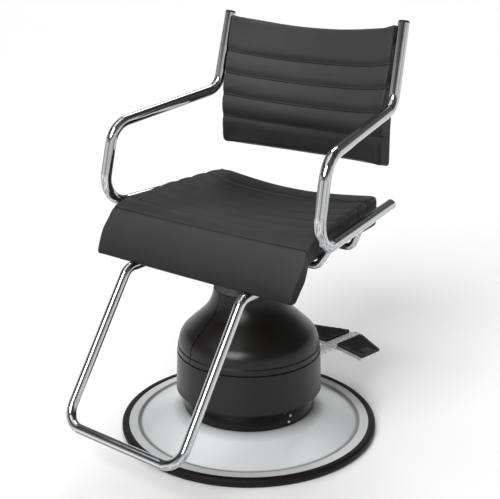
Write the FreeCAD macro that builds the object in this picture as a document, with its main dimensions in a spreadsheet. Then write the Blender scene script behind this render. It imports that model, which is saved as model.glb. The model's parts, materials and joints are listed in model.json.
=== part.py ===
"""Hydraulic salon styling chair: a tubular-framed seat that turns and rises on a round base.

Units are millimetres. +Z is up, +Y points from the sitter's knees to the backrest, and the
origin is on the floor under the middle of the column. The chair is drawn at its lowest height.
"""

import FreeCAD
import Part
import Sketcher
import math
import os

V = FreeCAD.Vector
Z_AXIS = V(0, 0, 1)
NODES = []

SIZES = [
    # the disc on the floor
    ("base_radius", 306, "outside of the rubber rim"),
    ("rim_width", 17, "rubber seen around the plate"),
    ("rim_height", 20, "rubber rim, floor to top"),
    ("rim_ledge", 26, "rubber under the plate's edge, measured in from the outside"),
    ("rim_edge", 3, "bevel on the rubber rim"),
    ("plate_edge_top", 18, "flat outer ring of the plate"),
    ("plate_gauge", 3, "pressed steel"),
    ("plate_step_outer", 268, "where the flat ring ends"),
    ("plate_step_inner", 262, "foot of the cone"),
    ("plate_step_depth", 4, "drop inside the flat ring"),
    ("plate_flat_radius", 158, "top of the cone"),
    ("plate_top", 55, "height of the cone's flat top"),
    ("ballast_radius", 278, "iron disc under the plate"),
    ("ballast_thick", 10, "iron disc under the plate"),
    # the hydraulic pump
    ("flange_radius", 78, "foot flange of the cylinder"),
    ("flange_thick", 12, "foot flange of the cylinder"),
    ("cylinder_radius", 52, "outside of the cylinder"),
    ("cylinder_bore", 34, "bore of the cylinder"),
    ("cylinder_top", 344, "height of the cylinder"),
    ("cylinder_floor", 15, "metal under the bore"),
    ("gland_bore", 32.05, "brass gland around the ram"),
    ("gland_depth", 32, "gland inside the cylinder"),
    ("gland_flange", 46, "gland on top of the cylinder"),
    ("collar_radius", 78.5, "metal ring closing the cover's neck"),
    ("collar_thick", 6, "metal ring closing the cover's neck"),
    ("flange_bolt_circle", 66, "radius of the bolt circle"),
    ("flange_bolt", 6, "M12 shank radius"),
    ("ram_radius", 32, "lifting ram"),
    ("ram_foot", 78, "lowest point of the ram at rest"),
    ("ram_shoulder", 398, "top of the thick part of the ram"),
    ("spigot_radius", 18, "turned top of the ram"),
    ("spigot_top", 452, "turned top of the ram"),
    ("bearing_radius", 44, "thrust bearing under the hub"),
    ("bearing_thick", 8, "thrust bearing under the hub"),
    ("retainer_radius", 25, "washer that keeps the hub on"),
    ("retainer_thick", 4, "washer that keeps the hub on"),
    # the plastic cover
    ("skirt_radius", 154.5, "inset skirt"),
    ("skirt_top", 84, "foot of the skirt's chamfer"),
    ("cover_wall", 3, "moulded wall"),
    ("band_foot", 104, "lower edge of the band"),
    ("band_foot_radius", 173.5, "lower edge of the band"),
    ("band_top", 197, "upper edge of the band"),
    ("band_top_radius", 170, "upper edge of the band"),
    ("bell_foot", 199, "lower edge of the bell"),
    ("bell_lip_radius", 168.5, "lip around the foot of the bell"),
    ("bell_lip_top", 212, "lip around the foot of the bell"),
    ("bell_radius", 166, "bell above its lip"),
    ("bell_shoulder_height", 239, "corner of the shoulder"),
    ("bell_shoulder_round", 48, "rounding of the shoulder"),
    ("bell_neck_radius", 87.6, "corner where the slope meets the neck"),
    ("bell_neck_height", 312.3, "corner where the slope meets the neck"),
    ("bell_neck_round", 95, "sweep of the neck"),
    ("bell_top_radius", 82, "top of the neck"),
    ("bell_top", 352, "top of the neck"),
    ("cover_split", 75, "direction of the cover's joint line, degrees from +X"),
    ("slot_width", 42, "opening for the pedal"),
    ("slot_foot", 74, "opening for the pedal"),
    ("slot_top", 124, "opening for the pedal"),
    ("cover_screw", 3.2, "screw head radius"),
    # the pump pedal
    ("pedal_direction", 82, "degrees from +X"),
    ("pivot_reach", 74, "pedal hinge from the column's middle"),
    ("pivot_height", 112, "pedal hinge above the floor"),
    ("pivot_pin", 6, "hinge pin radius"),
    ("pivot_bore", 6.05, "bore in the lever"),
    ("lever_thick", 10, "steel lever"),
    ("lever_half_width", 15, "steel lever"),
    ("lever_tail", 62, "inner end of the lever"),
    ("lever_tip", 406, "outer end of the lever"),
    ("wing_start", 300, "inner root of the wings"),
    ("wing_tip_start", 286, "inner corner at the wing tip"),
    ("wing_tip_end", 350, "outer corner at the wing tip"),
    ("wing_end", 394, "outer root of the wings"),
    ("wing_span", 114, "half the width over both wings"),
    ("pad_gap", 18, "pad's inner edge from the lever's middle"),
    ("pad_lap", 2.5, "pad beyond the wing's outline"),
    ("pad_thick", 9, "rubber pad"),
    ("plunger_reach", 104, "pump plunger from the column's middle"),
    ("plunger_radius", 8, "pump plunger"),
    ("plunger_bore", 8.05, "bore in the pump block"),
    ("plunger_foot", 69, "lower end of the plunger"),
    ("plunger_top", 106.8, "crown of the plunger"),
    ("block_top", 74, "top of the pump block"),
    ("block_inner", 58, "pump block's side facing the cylinder"),
    ("block_outer", 122, "pump block's outer side"),
    ("block_half_width", 16, "pump block"),
    ("ear_thick", 8, "cheeks that hold the hinge pin"),
    ("ear_gap", 15.4, "inner face of a cheek from the lever's middle"),
    ("ear_top", 124, "top of the cheeks"),
    ("spring_wire", 1.5, "radius of the return spring's wire"),
    ("spring_radius", 11, "middle of the return spring's coil"),
    # under the seat
    ("hub_gap", 0.3, "running gap over the thrust bearing"),
    ("hub_radius", 46, "seat hub"),
    ("hub_bore", 18.05, "bore on the ram's spigot"),
    ("hub_pocket_radius", 28, "pocket for the retaining washer"),
    ("hub_pocket_floor", 449, "pocket for the retaining washer"),
    ("hub_flange_radius", 82, "flange under the mounting plate"),
    ("hub_flange_foot", 456, "flange under the mounting plate"),
    ("mount_plate_foot", 466, "underside of the mounting plate"),
    ("mount_plate_thick", 8, "mounting plate"),
    ("mount_plate_half_width", 188, "mounting plate, side to side"),
    ("mount_plate_front", 128, "mounting plate, forward of the column"),
    ("mount_plate_back", 80, "mounting plate, behind the column"),
    ("mount_plate_round", 22, "mounting plate corners"),
    ("hub_bolt_circle", 66, "radius of the bolt circle"),
    ("hub_bolt", 4, "M8 shank radius"),
    # the side frames
    ("tube_radius", 12.7, "25.4 mm round tube"),
    ("tube_wall", 1.6, "tube wall"),
    ("frame_offset", 277, "frame's plane from the middle, above the column"),
    ("frame_taper", 8, "degrees that each frame turns in towards the back"),
    ("upright_top_y", 239, "upright's top, along the frame"),
    ("upright_top_z", 949, "upright's top"),
    ("back_bend_y", 195, "corner between upright and arm"),
    ("back_bend_z", 768, "corner between upright and arm"),
    ("back_bend_round", 44, "bend radius on the middle of the tube"),
    ("arm_front_y", 129, "arm's front corner, forward of the column"),
    ("arm_front_z", 716, "arm's front corner"),
    ("arm_front_round", 62, "bend radius on the middle of the tube"),
    ("rail_front_y", 172, "rail's front corner, forward of the column"),
    ("rail_front_z", 529, "rail's front corner"),
    ("rail_front_round", 58, "bend radius on the middle of the tube"),
    ("rail_back_y", 207, "rail's free end"),
    ("rail_back_z", 546, "rail's free end"),
    ("cap_dome", 5, "height of the end caps"),
    # tubes across the chair
    ("cross_radius", 8, "16 mm round tube"),
    ("cross_wall", 1.5, "tube wall"),
    ("cross_height", 482, "middle of the cross tubes under the seat"),
    ("cross_round", 24, "bend radius of the cross tubes"),
    ("front_cross_y", 100, "front cross tube, forward of the column"),
    ("front_cross_end_x", 291, "on the rail's middle"),
    ("front_cross_end_z", 532.2, "on the rail's middle"),
    ("front_cross_bend_x", 259, "corner of the front cross tube"),
    ("back_cross_y", 50, "rear cross tube, behind the column"),
    ("back_cross_end_x", 270, "on the rail's middle"),
    ("back_cross_end_z", 539, "on the rail's middle"),
    ("back_cross_bend_x", 246, "corner of the rear cross tube"),
    # footrest
    ("foot_tube", 11, "22 mm round tube"),
    ("foot_tube_wall", 1.5, "tube wall"),
    ("foot_half_width", 163, "middle of each leg"),
    ("foot_back_y", 46, "rear ends, forward of the column"),
    ("foot_bend_y", 231, "upper corner, forward of the column"),
    ("foot_top_z", 424, "run under the seat"),
    ("foot_bend_round", 32, "upper bend"),
    ("foot_bar_y", 435, "bar, forward of the column"),
    ("foot_bar_z", 124, "bar"),
    ("foot_bar_round", 44, "lower bends"),
    ("clamp_front", 86, "footrest clamp, forward of the column"),
    ("clamp_length", 36, "footrest clamp"),
    ("clamp_half_width", 17, "footrest clamp"),
    ("clamp_foot", 407, "footrest clamp"),
    ("clamp_bolt", 4, "M8 shank radius"),
    ("clamp_bolt_set", 8.5, "each bolt, from the middle of the leg"),
    # seat
    ("pan_foot", 490, "underside of the seat pan"),
    ("pan_thick", 10, "seat pan"),
    ("pan_back_y", 182, "rear edge of the pan"),
    ("seat_back_y", 198, "rear of the cushion"),
    ("seat_back_z", 560, "top of the cushion at the back"),
    ("seat_back_round", 20, "rear edge of the cushion"),
    ("seat_front_y", 165, "cushion's front corner, forward of the column"),
    ("seat_front_z", 542, "cushion's front corner"),
    ("seat_front_round", 62, "roll over the front of the cushion"),
    ("lip_y", 228, "foot of the cushion's lip, forward of the column"),
    ("lip_z", 436, "foot of the cushion's lip"),
    ("lip_round", 8, "foot of the cushion's lip"),
    ("lip_inner_y", 209, "back of the lip's foot"),
    ("lip_root_y", 160, "where the lip leaves the underside"),
    ("lip_board_y", 201, "foot of the board behind the lip"),
    ("lip_board_root_y", 152, "root of the board behind the lip"),
    ("seat_half_front", 272, "half width at the lip's foot"),
    ("seat_half_back", 229, "half width at the back"),
    ("seat_corner_round", 32, "rear corners"),
    ("pan_inset", 20, "pan inside the cushion's outline"),
    # backrest, in a frame that leans back
    ("back_lean", 12, "degrees"),
    ("back_origin_y", 170, "foot of the leaning frame"),
    ("back_origin_z", 640, "foot of the leaning frame"),
    ("back_curve", 469, "radius of the pad's front, from above"),
    ("back_curve_y", 425, "middle of that curve, in front of the frame"),
    ("back_thick", 42, "pad"),
    ("back_height", 311, "pad"),
    ("back_foot_set", 24, "how far the foot of the pad curves back"),
    ("back_waist", 112, "height of the waist"),
    ("back_waist_round", 400, "curve at the waist"),
    ("back_half_width", 230.5, "pad"),
    ("back_corner_round", 26, "pad's lower corners"),
    ("back_top_round", 9, "pad's upper corners"),
    ("back_edge_round", 10, "edges of the pad's section"),
    ("shell_thick", 5, "rear panel"),
    ("shell_half_width", 200, "rear panel"),
    ("shell_foot", 14, "rear panel"),
    ("shell_top", 298, "rear panel"),
    ("back_tube_low", 192, "lower cross tube behind the pad"),
    ("back_tube_high", 280, "upper cross tube behind the pad"),
    ("back_tube_corner_x", 214, "corner of those tubes"),
    ("back_tube_corner_y", 53.5, "corner of those tubes"),
    ("back_tube_corner_round", 18, "bend near the uprights"),
    ("back_tube_middle_y", 142.67, "corner on the middle plane before rounding"),
    ("back_tube_curve", 524, "bend behind the pad"),
    ("back_tube_end_x", 246, "on the upright's middle"),
    ("pad_relief", 1, "room round those tubes where they pass the pad's rear corners"),
]

doc = FreeCAD.newDocument("StylingChair")
sheet = doc.addObject("Spreadsheet::Sheet", "Sizes")
for row, (alias, value, note) in enumerate(SIZES, start=1):
    sheet.set("A" + str(row), alias)
    sheet.set("B" + str(row), str(value))
    sheet.setAlias("B" + str(row), alias)
    sheet.set("C" + str(row), note)
doc.recompute()


def is_number(word):
    return word.replace(".", "", 1).isdigit()


def size(words):
    """The value of a sum such as 'base_radius - rim_width', read from the sheet."""
    total = 0.0
    sign = 1.0
    for word in words.split():
        if word in "+-":
            sign = -1.0 if word == "-" else 1.0
            continue
        total += sign * (float(word) if is_number(word) else float(sheet.get(word)))
        sign = 1.0
    return total


def formula(words):
    """The same sum as an expression on the sheet's cells."""
    parts = []
    for word in words.split():
        if word in "+-" or is_number(word):
            parts.append(word)
        else:
            parts.append("Sizes." + word)
    return " ".join(parts)


def negative(words):
    """The sum with its sign turned."""
    flipped = []
    for word in ("+ " + words if words[0] != "-" else words).split():
        flipped.append({"+": "-", "-": "+"}.get(word, word))
    text = " ".join(flipped)
    return text[2:] if text.startswith("+ ") else text


def bind(thing, prop, words):
    thing.setExpression(prop, formula(words))


def keep(thing, label):
    """Marks an object as a finished piece of the chair."""
    thing.Label = label
    NODES.append(thing)
    return thing


def origin_plane(body, role):
    for feature in body.Origin.OriginFeatures:
        if feature.Role == role:
            return feature
    raise ValueError(role)


def new_body(name):
    return doc.addObject("PartDesign::Body", name)


def new_sketch(body, name, role, offset=None):
    sketch = body.newObject("Sketcher::SketchObject", name)
    sketch.AttachmentSupport = [(origin_plane(body, role), "")]
    sketch.MapMode = "FlatFace"
    if offset is not None:
        sketch.AttachmentOffset = offset
    return sketch


def constrain(sketch, *what):
    return sketch.addConstraint(Sketcher.Constraint(*what))


def place_point(sketch, geometry, end, across, up):
    """Fixes one point of the sketch by its distances from the sketch's origin."""
    for kind, words, axis in (("DistanceX", across, -2), ("DistanceY", up, -1)):
        value = size(words)
        if abs(value) < 1e-9:
            constrain(sketch, "PointOnObject", geometry, end, axis)
            continue
        number = constrain(sketch, kind, -1, 1, geometry, end, value)
        bind(sketch, "Constraints[%d]" % number, words)


def corner_cut(before, at, after, radius):
    """Where a rounded corner leaves its two sides, and the middle of its arc."""
    into = (before - at).normalize()
    out = (after - at).normalize()
    half = into.getAngle(out) / 2
    reach = radius / math.tan(half)
    middle = at + (into + out).normalize() * (radius / math.sin(half))
    return at + into * reach, at + out * reach, middle


def outline(sketch, points, closed=True):
    """Straight sides between points given as (across, up) or (across, up, corner radius)."""
    at = [V(size(p[0]), size(p[1]), 0) for p in points]
    count = len(points)
    starts = list(at)
    ends = list(at)
    arcs = {}
    for i, point in enumerate(points):
        if len(point) < 3 or (not closed and i in (0, count - 1)):
            continue
        ends[i], starts[i], middle = corner_cut(
            at[i - 1], at[i], at[(i + 1) % count], size(point[2]))
        turn = (at[i] - at[i - 1]).cross(at[(i + 1) % count] - at[i]).z
        first, last = (ends[i], starts[i]) if turn > 0 else (starts[i], ends[i])
        a0 = math.atan2(first.y - middle.y, first.x - middle.x)
        a1 = math.atan2(last.y - middle.y, last.x - middle.x)
        arc = Part.ArcOfCircle(Part.Circle(middle, Z_AXIS, size(point[2])), a0,
                               a1 if a1 > a0 else a1 + 2 * math.pi)
        arcs[i] = (sketch.addGeometry(arc, False), turn > 0)
    sides = count if closed else count - 1
    lines = []
    for i in range(sides):
        side = Part.LineSegment(starts[i], ends[(i + 1) % count])
        lines.append(sketch.addGeometry(side, False))
    for i, point in enumerate(points):
        has_before = closed or i > 0
        has_after = closed or i < count - 1
        before = lines[i - 1] if has_before else None
        after = lines[i] if has_after else None
        if i in arcs:
            arc, left = arcs[i]
            constrain(sketch, "Tangent", before, 2, arc, 1 if left else 2)
            constrain(sketch, "Tangent", arc, 2 if left else 1, after, 1)
            number = constrain(sketch, "Radius", arc, size(point[2]))
            bind(sketch, "Constraints[%d]" % number, point[2])
            corner = sketch.addGeometry(Part.Point(at[i]), True)
            constrain(sketch, "PointOnObject", corner, 1, before)
            constrain(sketch, "PointOnObject", corner, 1, after)
            place_point(sketch, corner, 1, point[0], point[1])
            continue
        if has_before and has_after:
            constrain(sketch, "Coincident", before, 2, after, 1)
        if has_after:
            place_point(sketch, after, 1, point[0], point[1])
        else:
            place_point(sketch, before, 2, point[0], point[1])


def turned(name, points, angle=360.0):
    """A solid of revolution about Z from a section of (radius, height) points."""
    body = new_body(name)
    section = new_sketch(body, name + "Section", "XZ_Plane")
    outline(section, points)
    feature = body.newObject("PartDesign::Revolution", name + "Turn")
    feature.Profile = section
    feature.ReferenceAxis = (section, ["V_Axis"])
    feature.Angle = angle
    body.Tip = feature
    return body


def padded(name, role, points, depth, offset=None, both_ways=False):
    """A slab: an outline on an origin plane, pushed out by the depth."""
    body = new_body(name)
    section = new_sketch(body, name + "Outline", role, offset)
    outline(section, points)
    feature = body.newObject("PartDesign::Pad", name + "Pad")
    feature.Profile = section
    feature.Length = size(depth)
    bind(feature, "Length", depth)
    feature.Midplane = both_ways
    body.Tip = feature
    return body


def lift(height):
    return FreeCAD.Placement(V(0, 0, size(height)), FreeCAD.Rotation())


def rod(name, spine_points, role, radius, plane_offset=None):
    """A solid rod along a bent line drawn on an origin plane."""
    body = new_body(name)
    spine = new_sketch(body, name + "Line", role, plane_offset)
    outline(spine, spine_points, closed=False)
    doc.recompute()
    wire = spine.Shape.Wires[0]
    first = V(size(spine_points[0][0]), size(spine_points[0][1]), 0)
    second = V(size(spine_points[1][0]), size(spine_points[1][1]), 0)
    start = spine.Placement.multVec(first)
    along = spine.Placement.Rotation.multVec(second - first)
    offset = FreeCAD.Placement(start, FreeCAD.Rotation(Z_AXIS, along))
    section = new_sketch(body, name + "Section", "XY_Plane", offset)
    circle = section.addGeometry(Part.Circle(V(0, 0, 0), Z_AXIS, size(radius)), False)
    constrain(section, "Coincident", circle, 3, -1, 1)
    number = constrain(section, "Radius", circle, size(radius))
    bind(section, "Constraints[%d]" % number, radius)
    feature = body.newObject("PartDesign::AdditivePipe", name + "Pipe")
    feature.Profile = section
    feature.Spine = (spine, ["Edge%d" % (i + 1) for i in range(len(wire.Edges))])
    body.Tip = feature
    return body


def minus(name, base, tool):
    cut = doc.addObject("Part::Cut", name)
    cut.Base = base
    cut.Tool = tool
    return cut


def both(name, first, second):
    common = doc.addObject("Part::Common", name)
    common.Base = first
    common.Tool = second
    return common


def fused(name, pieces):
    if len(pieces) == 1:
        return pieces[0]
    fusion = doc.addObject("Part::MultiFuse", name)
    fusion.Shapes = pieces
    return fusion


def grouped(name, pieces):
    group = doc.addObject("Part::Compound", name)
    group.Links = pieces
    return group


def cylinder(name, radius, height, place):
    shape = doc.addObject("Part::Cylinder", name)
    bind(shape, "Radius", radius)
    bind(shape, "Height", height)
    shape.Placement = place
    return shape


def hexagon(name, radius, height, place):
    shape = doc.addObject("Part::Prism", name)
    shape.Polygon = 6
    bind(shape, "Circumradius", radius)
    bind(shape, "Height", height)
    shape.Placement = place
    return shape


def hex_bolts(label, places, head, head_height, shank, length):
    """Hexagon bolts, each head on the place's origin and its shank going down from there."""
    bolts = []
    shanks = []
    for i, place in enumerate(places):
        down = place.multiply(FreeCAD.Placement(V(0, 0, -size(length)), FreeCAD.Rotation()))
        top = hexagon("%sHead%d" % (label, i), head, head_height, place)
        stem = cylinder("%sStem%d" % (label, i), shank, length, down)
        hole = cylinder("%sHole%d" % (label, i), shank, length, down)
        bolts.append(fused("%sBolt%d" % (label, i), [top, stem]))
        shanks.append(hole)
    keep(grouped(label, bolts), label)
    return fused(label + "Holes", shanks)


def ring_places(radius, count, first, height):
    places = []
    for i in range(count):
        spot = math.radians(first + 360.0 * i / count)
        places.append(FreeCAD.Placement(
            V(size(radius) * math.cos(spot), size(radius) * math.sin(spot), size(height)),
            FreeCAD.Rotation()))
    return places


def make_base():
    """Pressed plate, rubber rim and iron ballast."""
    holes = hex_bolts("flange_bolts", ring_places("flange_bolt_circle", 4, 37, "plate_top + flange_thick"),
                      "10.4", "7.5", "flange_bolt", "flange_thick + plate_gauge + 6")
    keep(turned("base_rim", [
        ("base_radius - rim_ledge", "0"),
        ("base_radius - rim_edge", "0"),
        ("base_radius", "rim_edge"),
        ("base_radius", "rim_height - rim_edge"),
        ("base_radius - rim_edge", "rim_height"),
        ("base_radius - rim_width + 2", "rim_height"),
        ("base_radius - rim_width", "plate_edge_top"),
        ("base_radius - rim_width", "plate_edge_top - plate_gauge"),
        ("base_radius - rim_ledge", "plate_edge_top - plate_gauge"),
    ]), "base_rim")
    plate = turned("PlateBlank", [
        ("0", "plate_top"),
        ("plate_flat_radius", "plate_top", "12"),
        ("plate_step_inner", "plate_edge_top - plate_step_depth", "4"),
        ("plate_step_outer", "plate_edge_top"),
        ("base_radius - rim_width", "plate_edge_top"),
        ("base_radius - rim_width", "plate_edge_top - plate_gauge"),
        ("plate_step_outer + 1", "plate_edge_top - plate_gauge"),
        ("plate_step_inner", "plate_edge_top - plate_step_depth - plate_gauge - 0.4", "7"),
        ("plate_flat_radius - 1", "plate_top - plate_gauge", "9"),
        ("0", "plate_top - plate_gauge"),
    ])
    keep(minus("base_plate", plate, holes), "base_plate")
    keep(turned("ballast_disc", [
        ("0", "0"),
        ("ballast_radius", "0"),
        ("ballast_radius", "ballast_thick - 2"),
        ("ballast_radius - 2", "ballast_thick"),
        ("0", "ballast_thick"),
    ]), "ballast_disc")
    posts = []
    for i, place in enumerate(ring_places("flange_bolt_circle + 46", 6, 30, "ballast_thick")):
        posts.append(cylinder("Post%d" % i, "9", "plate_top - plate_gauge - ballast_thick", place))
    keep(grouped("ballast_posts", posts), "ballast_posts")
    return holes


def make_pump(holes):
    """Cylinder, gland and collar, with the pump block and its cheeks on the pedal's side."""
    cylinder_body = turned("CylinderBlank", [
        ("0", "plate_top"),
        ("flange_radius", "plate_top"),
        ("flange_radius", "plate_top + flange_thick"),
        ("cylinder_radius", "plate_top + flange_thick", "3"),
        ("cylinder_radius", "cylinder_top"),
        ("cylinder_bore", "cylinder_top"),
        ("cylinder_bore", "plate_top + cylinder_floor"),
        ("0", "plate_top + cylinder_floor"),
    ])
    aim = FreeCAD.Rotation(Z_AXIS, size("pedal_direction"))
    block = padded("BlockBlank", "XZ_Plane", [
        ("block_inner", "plate_top"),
        ("block_outer", "plate_top"),
        ("block_outer", "block_top"),
        ("block_inner", "block_top"),
    ], "block_half_width + block_half_width", both_ways=True)
    block.Placement = FreeCAD.Placement(V(0, 0, 0), aim)
    cheeks = []
    for side, sign in (("Near", 1), ("Far", -1)):
        cheek = padded("Cheek" + side, "XZ_Plane", [
            ("block_inner", "plate_top"),
            ("pivot_reach + 16", "plate_top"),
            ("pivot_reach + 16", "pivot_height"),
            ("pivot_reach + 10", "ear_top", "8"),
            ("pivot_reach - 12", "ear_top", "8"),
            ("block_inner", "pivot_height"),
        ], "ear_thick")
        shift = -size("ear_gap") if sign < 0 else size("ear_gap") + size("ear_thick")
        cheek.Placement = FreeCAD.Placement(aim.multVec(V(0, shift, 0)), aim)
        cheeks.append(cheek)
    blank = fused("BlockWithCheeks", [block] + cheeks)
    bore = cylinder("PlungerBore", "plunger_bore", "block_top", FreeCAD.Placement(
        aim.multVec(V(size("plunger_reach"), 0, size("plate_top") + 2)), aim))
    pin_start = aim.multVec(V(size("pivot_reach"), -32, size("pivot_height")))
    along = FreeCAD.Rotation(Z_AXIS, aim.multVec(V(0, 1, 0)))
    pin_hole = cylinder("PinHole", "pivot_pin", "64", FreeCAD.Placement(pin_start, along))
    keep_out = cylinder("CylinderSpace", "flange_radius", "flange_thick + 2", FreeCAD.Placement(
        V(0, 0, size("plate_top") - 2), FreeCAD.Rotation()))
    keep(minus("pump_block", blank, fused("BlockHoles", [bore, pin_hole, keep_out])), "pump_block")
    pin = cylinder("PinShank", "pivot_pin", "ear_gap + ear_gap + ear_thick + ear_thick + 3",
                   FreeCAD.Placement(aim.multVec(V(size("pivot_reach"),
                                                   -size("ear_gap + ear_thick + 1.5"),
                                                   size("pivot_height"))), along))
    keep(pin, "pedal_pivot_pin")
    keep(minus("pump_cylinder", cylinder_body, holes), "pump_cylinder")
    keep(turned("gland_bush", [
        ("gland_bore", "cylinder_top - gland_depth"),
        ("cylinder_bore", "cylinder_top - gland_depth"),
        ("cylinder_bore", "cylinder_top"),
        ("gland_flange", "cylinder_top"),
        ("gland_flange", "cylinder_top + collar_thick"),
        ("gland_bore", "cylinder_top + collar_thick"),
    ]), "gland_bush")
    keep(turned("neck_collar", [
        ("gland_flange", "cylinder_top"),
        ("collar_radius", "cylinder_top"),
        ("collar_radius", "cylinder_top + collar_thick"),
        ("gland_flange", "cylinder_top + collar_thick"),
    ]), "neck_collar")
    return aim


def half_turned(label, points, side, slot=None):
    """One of the two mirror halves that the cover splits into."""
    blank = turned(label + "Blank" if slot else label, points, 180.0)
    blank.Placement = FreeCAD.Placement(V(0, 0, 0), FreeCAD.Rotation(
        Z_AXIS, size("cover_split") + (0.06 if side == "left" else 180.06)))
    if slot is None:
        return keep(blank, label)
    return keep(minus(label, blank, slot), label)


def make_cover(aim):
    """Skirt, band and bell, with the opening that the pedal's lever moves in."""
    slot = doc.addObject("Part::Box", "PedalOpening")
    bind(slot, "Length", "60")
    bind(slot, "Width", "slot_width")
    bind(slot, "Height", "slot_top - slot_foot")
    slot.Placement = FreeCAD.Placement(
        aim.multVec(V(136, -size("slot_width") / 2, size("slot_foot"))), aim)
    skirt = turned("SkirtBlank", [
        ("skirt_radius - cover_wall", "plate_top"),
        ("skirt_radius", "plate_top"),
        ("skirt_radius", "skirt_top"),
        ("band_foot_radius - cover_wall - 0.4", "band_foot"),
        ("band_foot_radius - cover_wall - 0.4", "band_foot + 7"),
        ("band_foot_radius - cover_wall - cover_wall", "band_foot + 7"),
        ("band_foot_radius - cover_wall - cover_wall", "band_foot + 1"),
        ("skirt_radius - cover_wall", "skirt_top + 1.4"),
    ])
    keep(minus("cover_skirt", skirt, slot), "cover_skirt")
    for side in ("left", "right"):
        half_turned("cover_band_" + side, [
            ("band_foot_radius - cover_wall", "band_foot"),
            ("band_foot_radius", "band_foot"),
            ("band_top_radius", "band_top"),
            ("band_top_radius - cover_wall", "band_top"),
        ], side, slot)
        half_turned("cover_bell_" + side, [
            ("bell_lip_radius", "bell_foot"),
            ("bell_lip_radius", "bell_lip_top"),
            ("bell_radius", "bell_lip_top + 2"),
            ("bell_radius", "bell_shoulder_height", "bell_shoulder_round"),
            ("bell_neck_radius", "bell_neck_height", "bell_neck_round"),
            ("bell_top_radius", "bell_top"),
            ("bell_top_radius - cover_wall", "bell_top"),
            ("bell_neck_radius - 2.9", "bell_neck_height - 1.4", "bell_neck_round + 3"),
            ("bell_radius - cover_wall", "bell_shoulder_height - 1.2", "bell_shoulder_round - 3"),
            ("bell_radius - cover_wall", "band_top - 5"),
            ("bell_radius - cover_wall + 2.5", "band_top - 5"),
            ("bell_radius - cover_wall + 2.5", "bell_foot"),
        ], side)
    screws = []
    for i, (direction, height) in enumerate(((-14.0, 80.0), (-15.6, 66.0), (166.0, 80.0), (164.4, 66.0))):
        away = V(math.cos(math.radians(direction)), math.sin(math.radians(direction)), 0)
        place = FreeCAD.Placement(away * size("skirt_radius") + V(0, 0, height),
                                  FreeCAD.Rotation(Z_AXIS, away))
        screws.append(cylinder("SkirtScrew%d" % i, "cover_screw", "1.8", place))
    keep(grouped("cover_screws", screws), "cover_screws")


def make_pedal(aim):
    """Forked steel lever with a rubber pad on each wing."""
    floor = lift("pivot_height - lever_thick + 5")
    lever = padded("LeverBlank", "XY_Plane", [
        ("lever_tail", negative("lever_half_width"), "6"),
        ("wing_start", negative("lever_half_width"), "10"),
        ("wing_tip_start", negative("wing_span"), "9"),
        ("wing_tip_end", negative("wing_span - 4"), "9"),
        ("wing_end", negative("lever_half_width + 2"), "6"),
        ("lever_tip", negative("lever_half_width - 5"), "6"),
        ("lever_tip", "lever_half_width - 5", "6"),
        ("wing_end", "lever_half_width + 2", "6"),
        ("wing_tip_end", "wing_span - 4", "9"),
        ("wing_tip_start", "wing_span", "9"),
        ("wing_start", "lever_half_width", "10"),
        ("lever_tail", "lever_half_width", "6"),
    ], "lever_thick", floor)
    lever.Placement = FreeCAD.Placement(V(0, 0, 0), aim)
    along = FreeCAD.Rotation(Z_AXIS, aim.multVec(V(0, 1, 0)))
    bore = cylinder("LeverBore", "pivot_bore", "60", FreeCAD.Placement(
        aim.multVec(V(size("pivot_reach"), -30, size("pivot_height"))), along))
    boss = cylinder("LeverBoss", "pivot_pin + 4", "lever_half_width + lever_half_width", FreeCAD.Placement(
        aim.multVec(V(size("pivot_reach"), -size("lever_half_width"), size("pivot_height"))), along))
    keep(minus("pedal_lever", fused("LeverWithBoss", [lever, boss]), bore), "pedal_lever")
    top = lift("pivot_height + 5")
    for side, sign in (("left", -1), ("right", 1)):
        flip = negative if sign < 0 else (lambda words: words)
        corners = [
            ("wing_start - pad_lap", flip("pad_gap"), "4"),
            ("wing_tip_start - pad_lap", flip("wing_span + pad_lap"), "9"),
            ("wing_tip_end + pad_lap", flip("wing_span + pad_lap - 4"), "9"),
            ("wing_end + pad_lap", flip("pad_gap"), "4"),
        ]
        pad = padded("pedal_pad_" + side, "XY_Plane", corners, "pad_thick", top)
        pad.Placement = FreeCAD.Placement(V(0, 0, 0), aim)
        keep(pad, "pedal_pad_" + side)
    rivets = []
    for i, (reach, across) in enumerate(((318.0, 60.0), (350.0, 60.0), (318.0, -60.0), (350.0, -60.0))):
        spot = aim.multVec(V(reach, across, size("pivot_height") - 5 - 1.6))
        rivets.append(cylinder("PadRivet%d" % i, "4", "1.6", FreeCAD.Placement(spot, FreeCAD.Rotation())))
    keep(grouped("pad_rivets", rivets), "pad_rivets")


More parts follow.
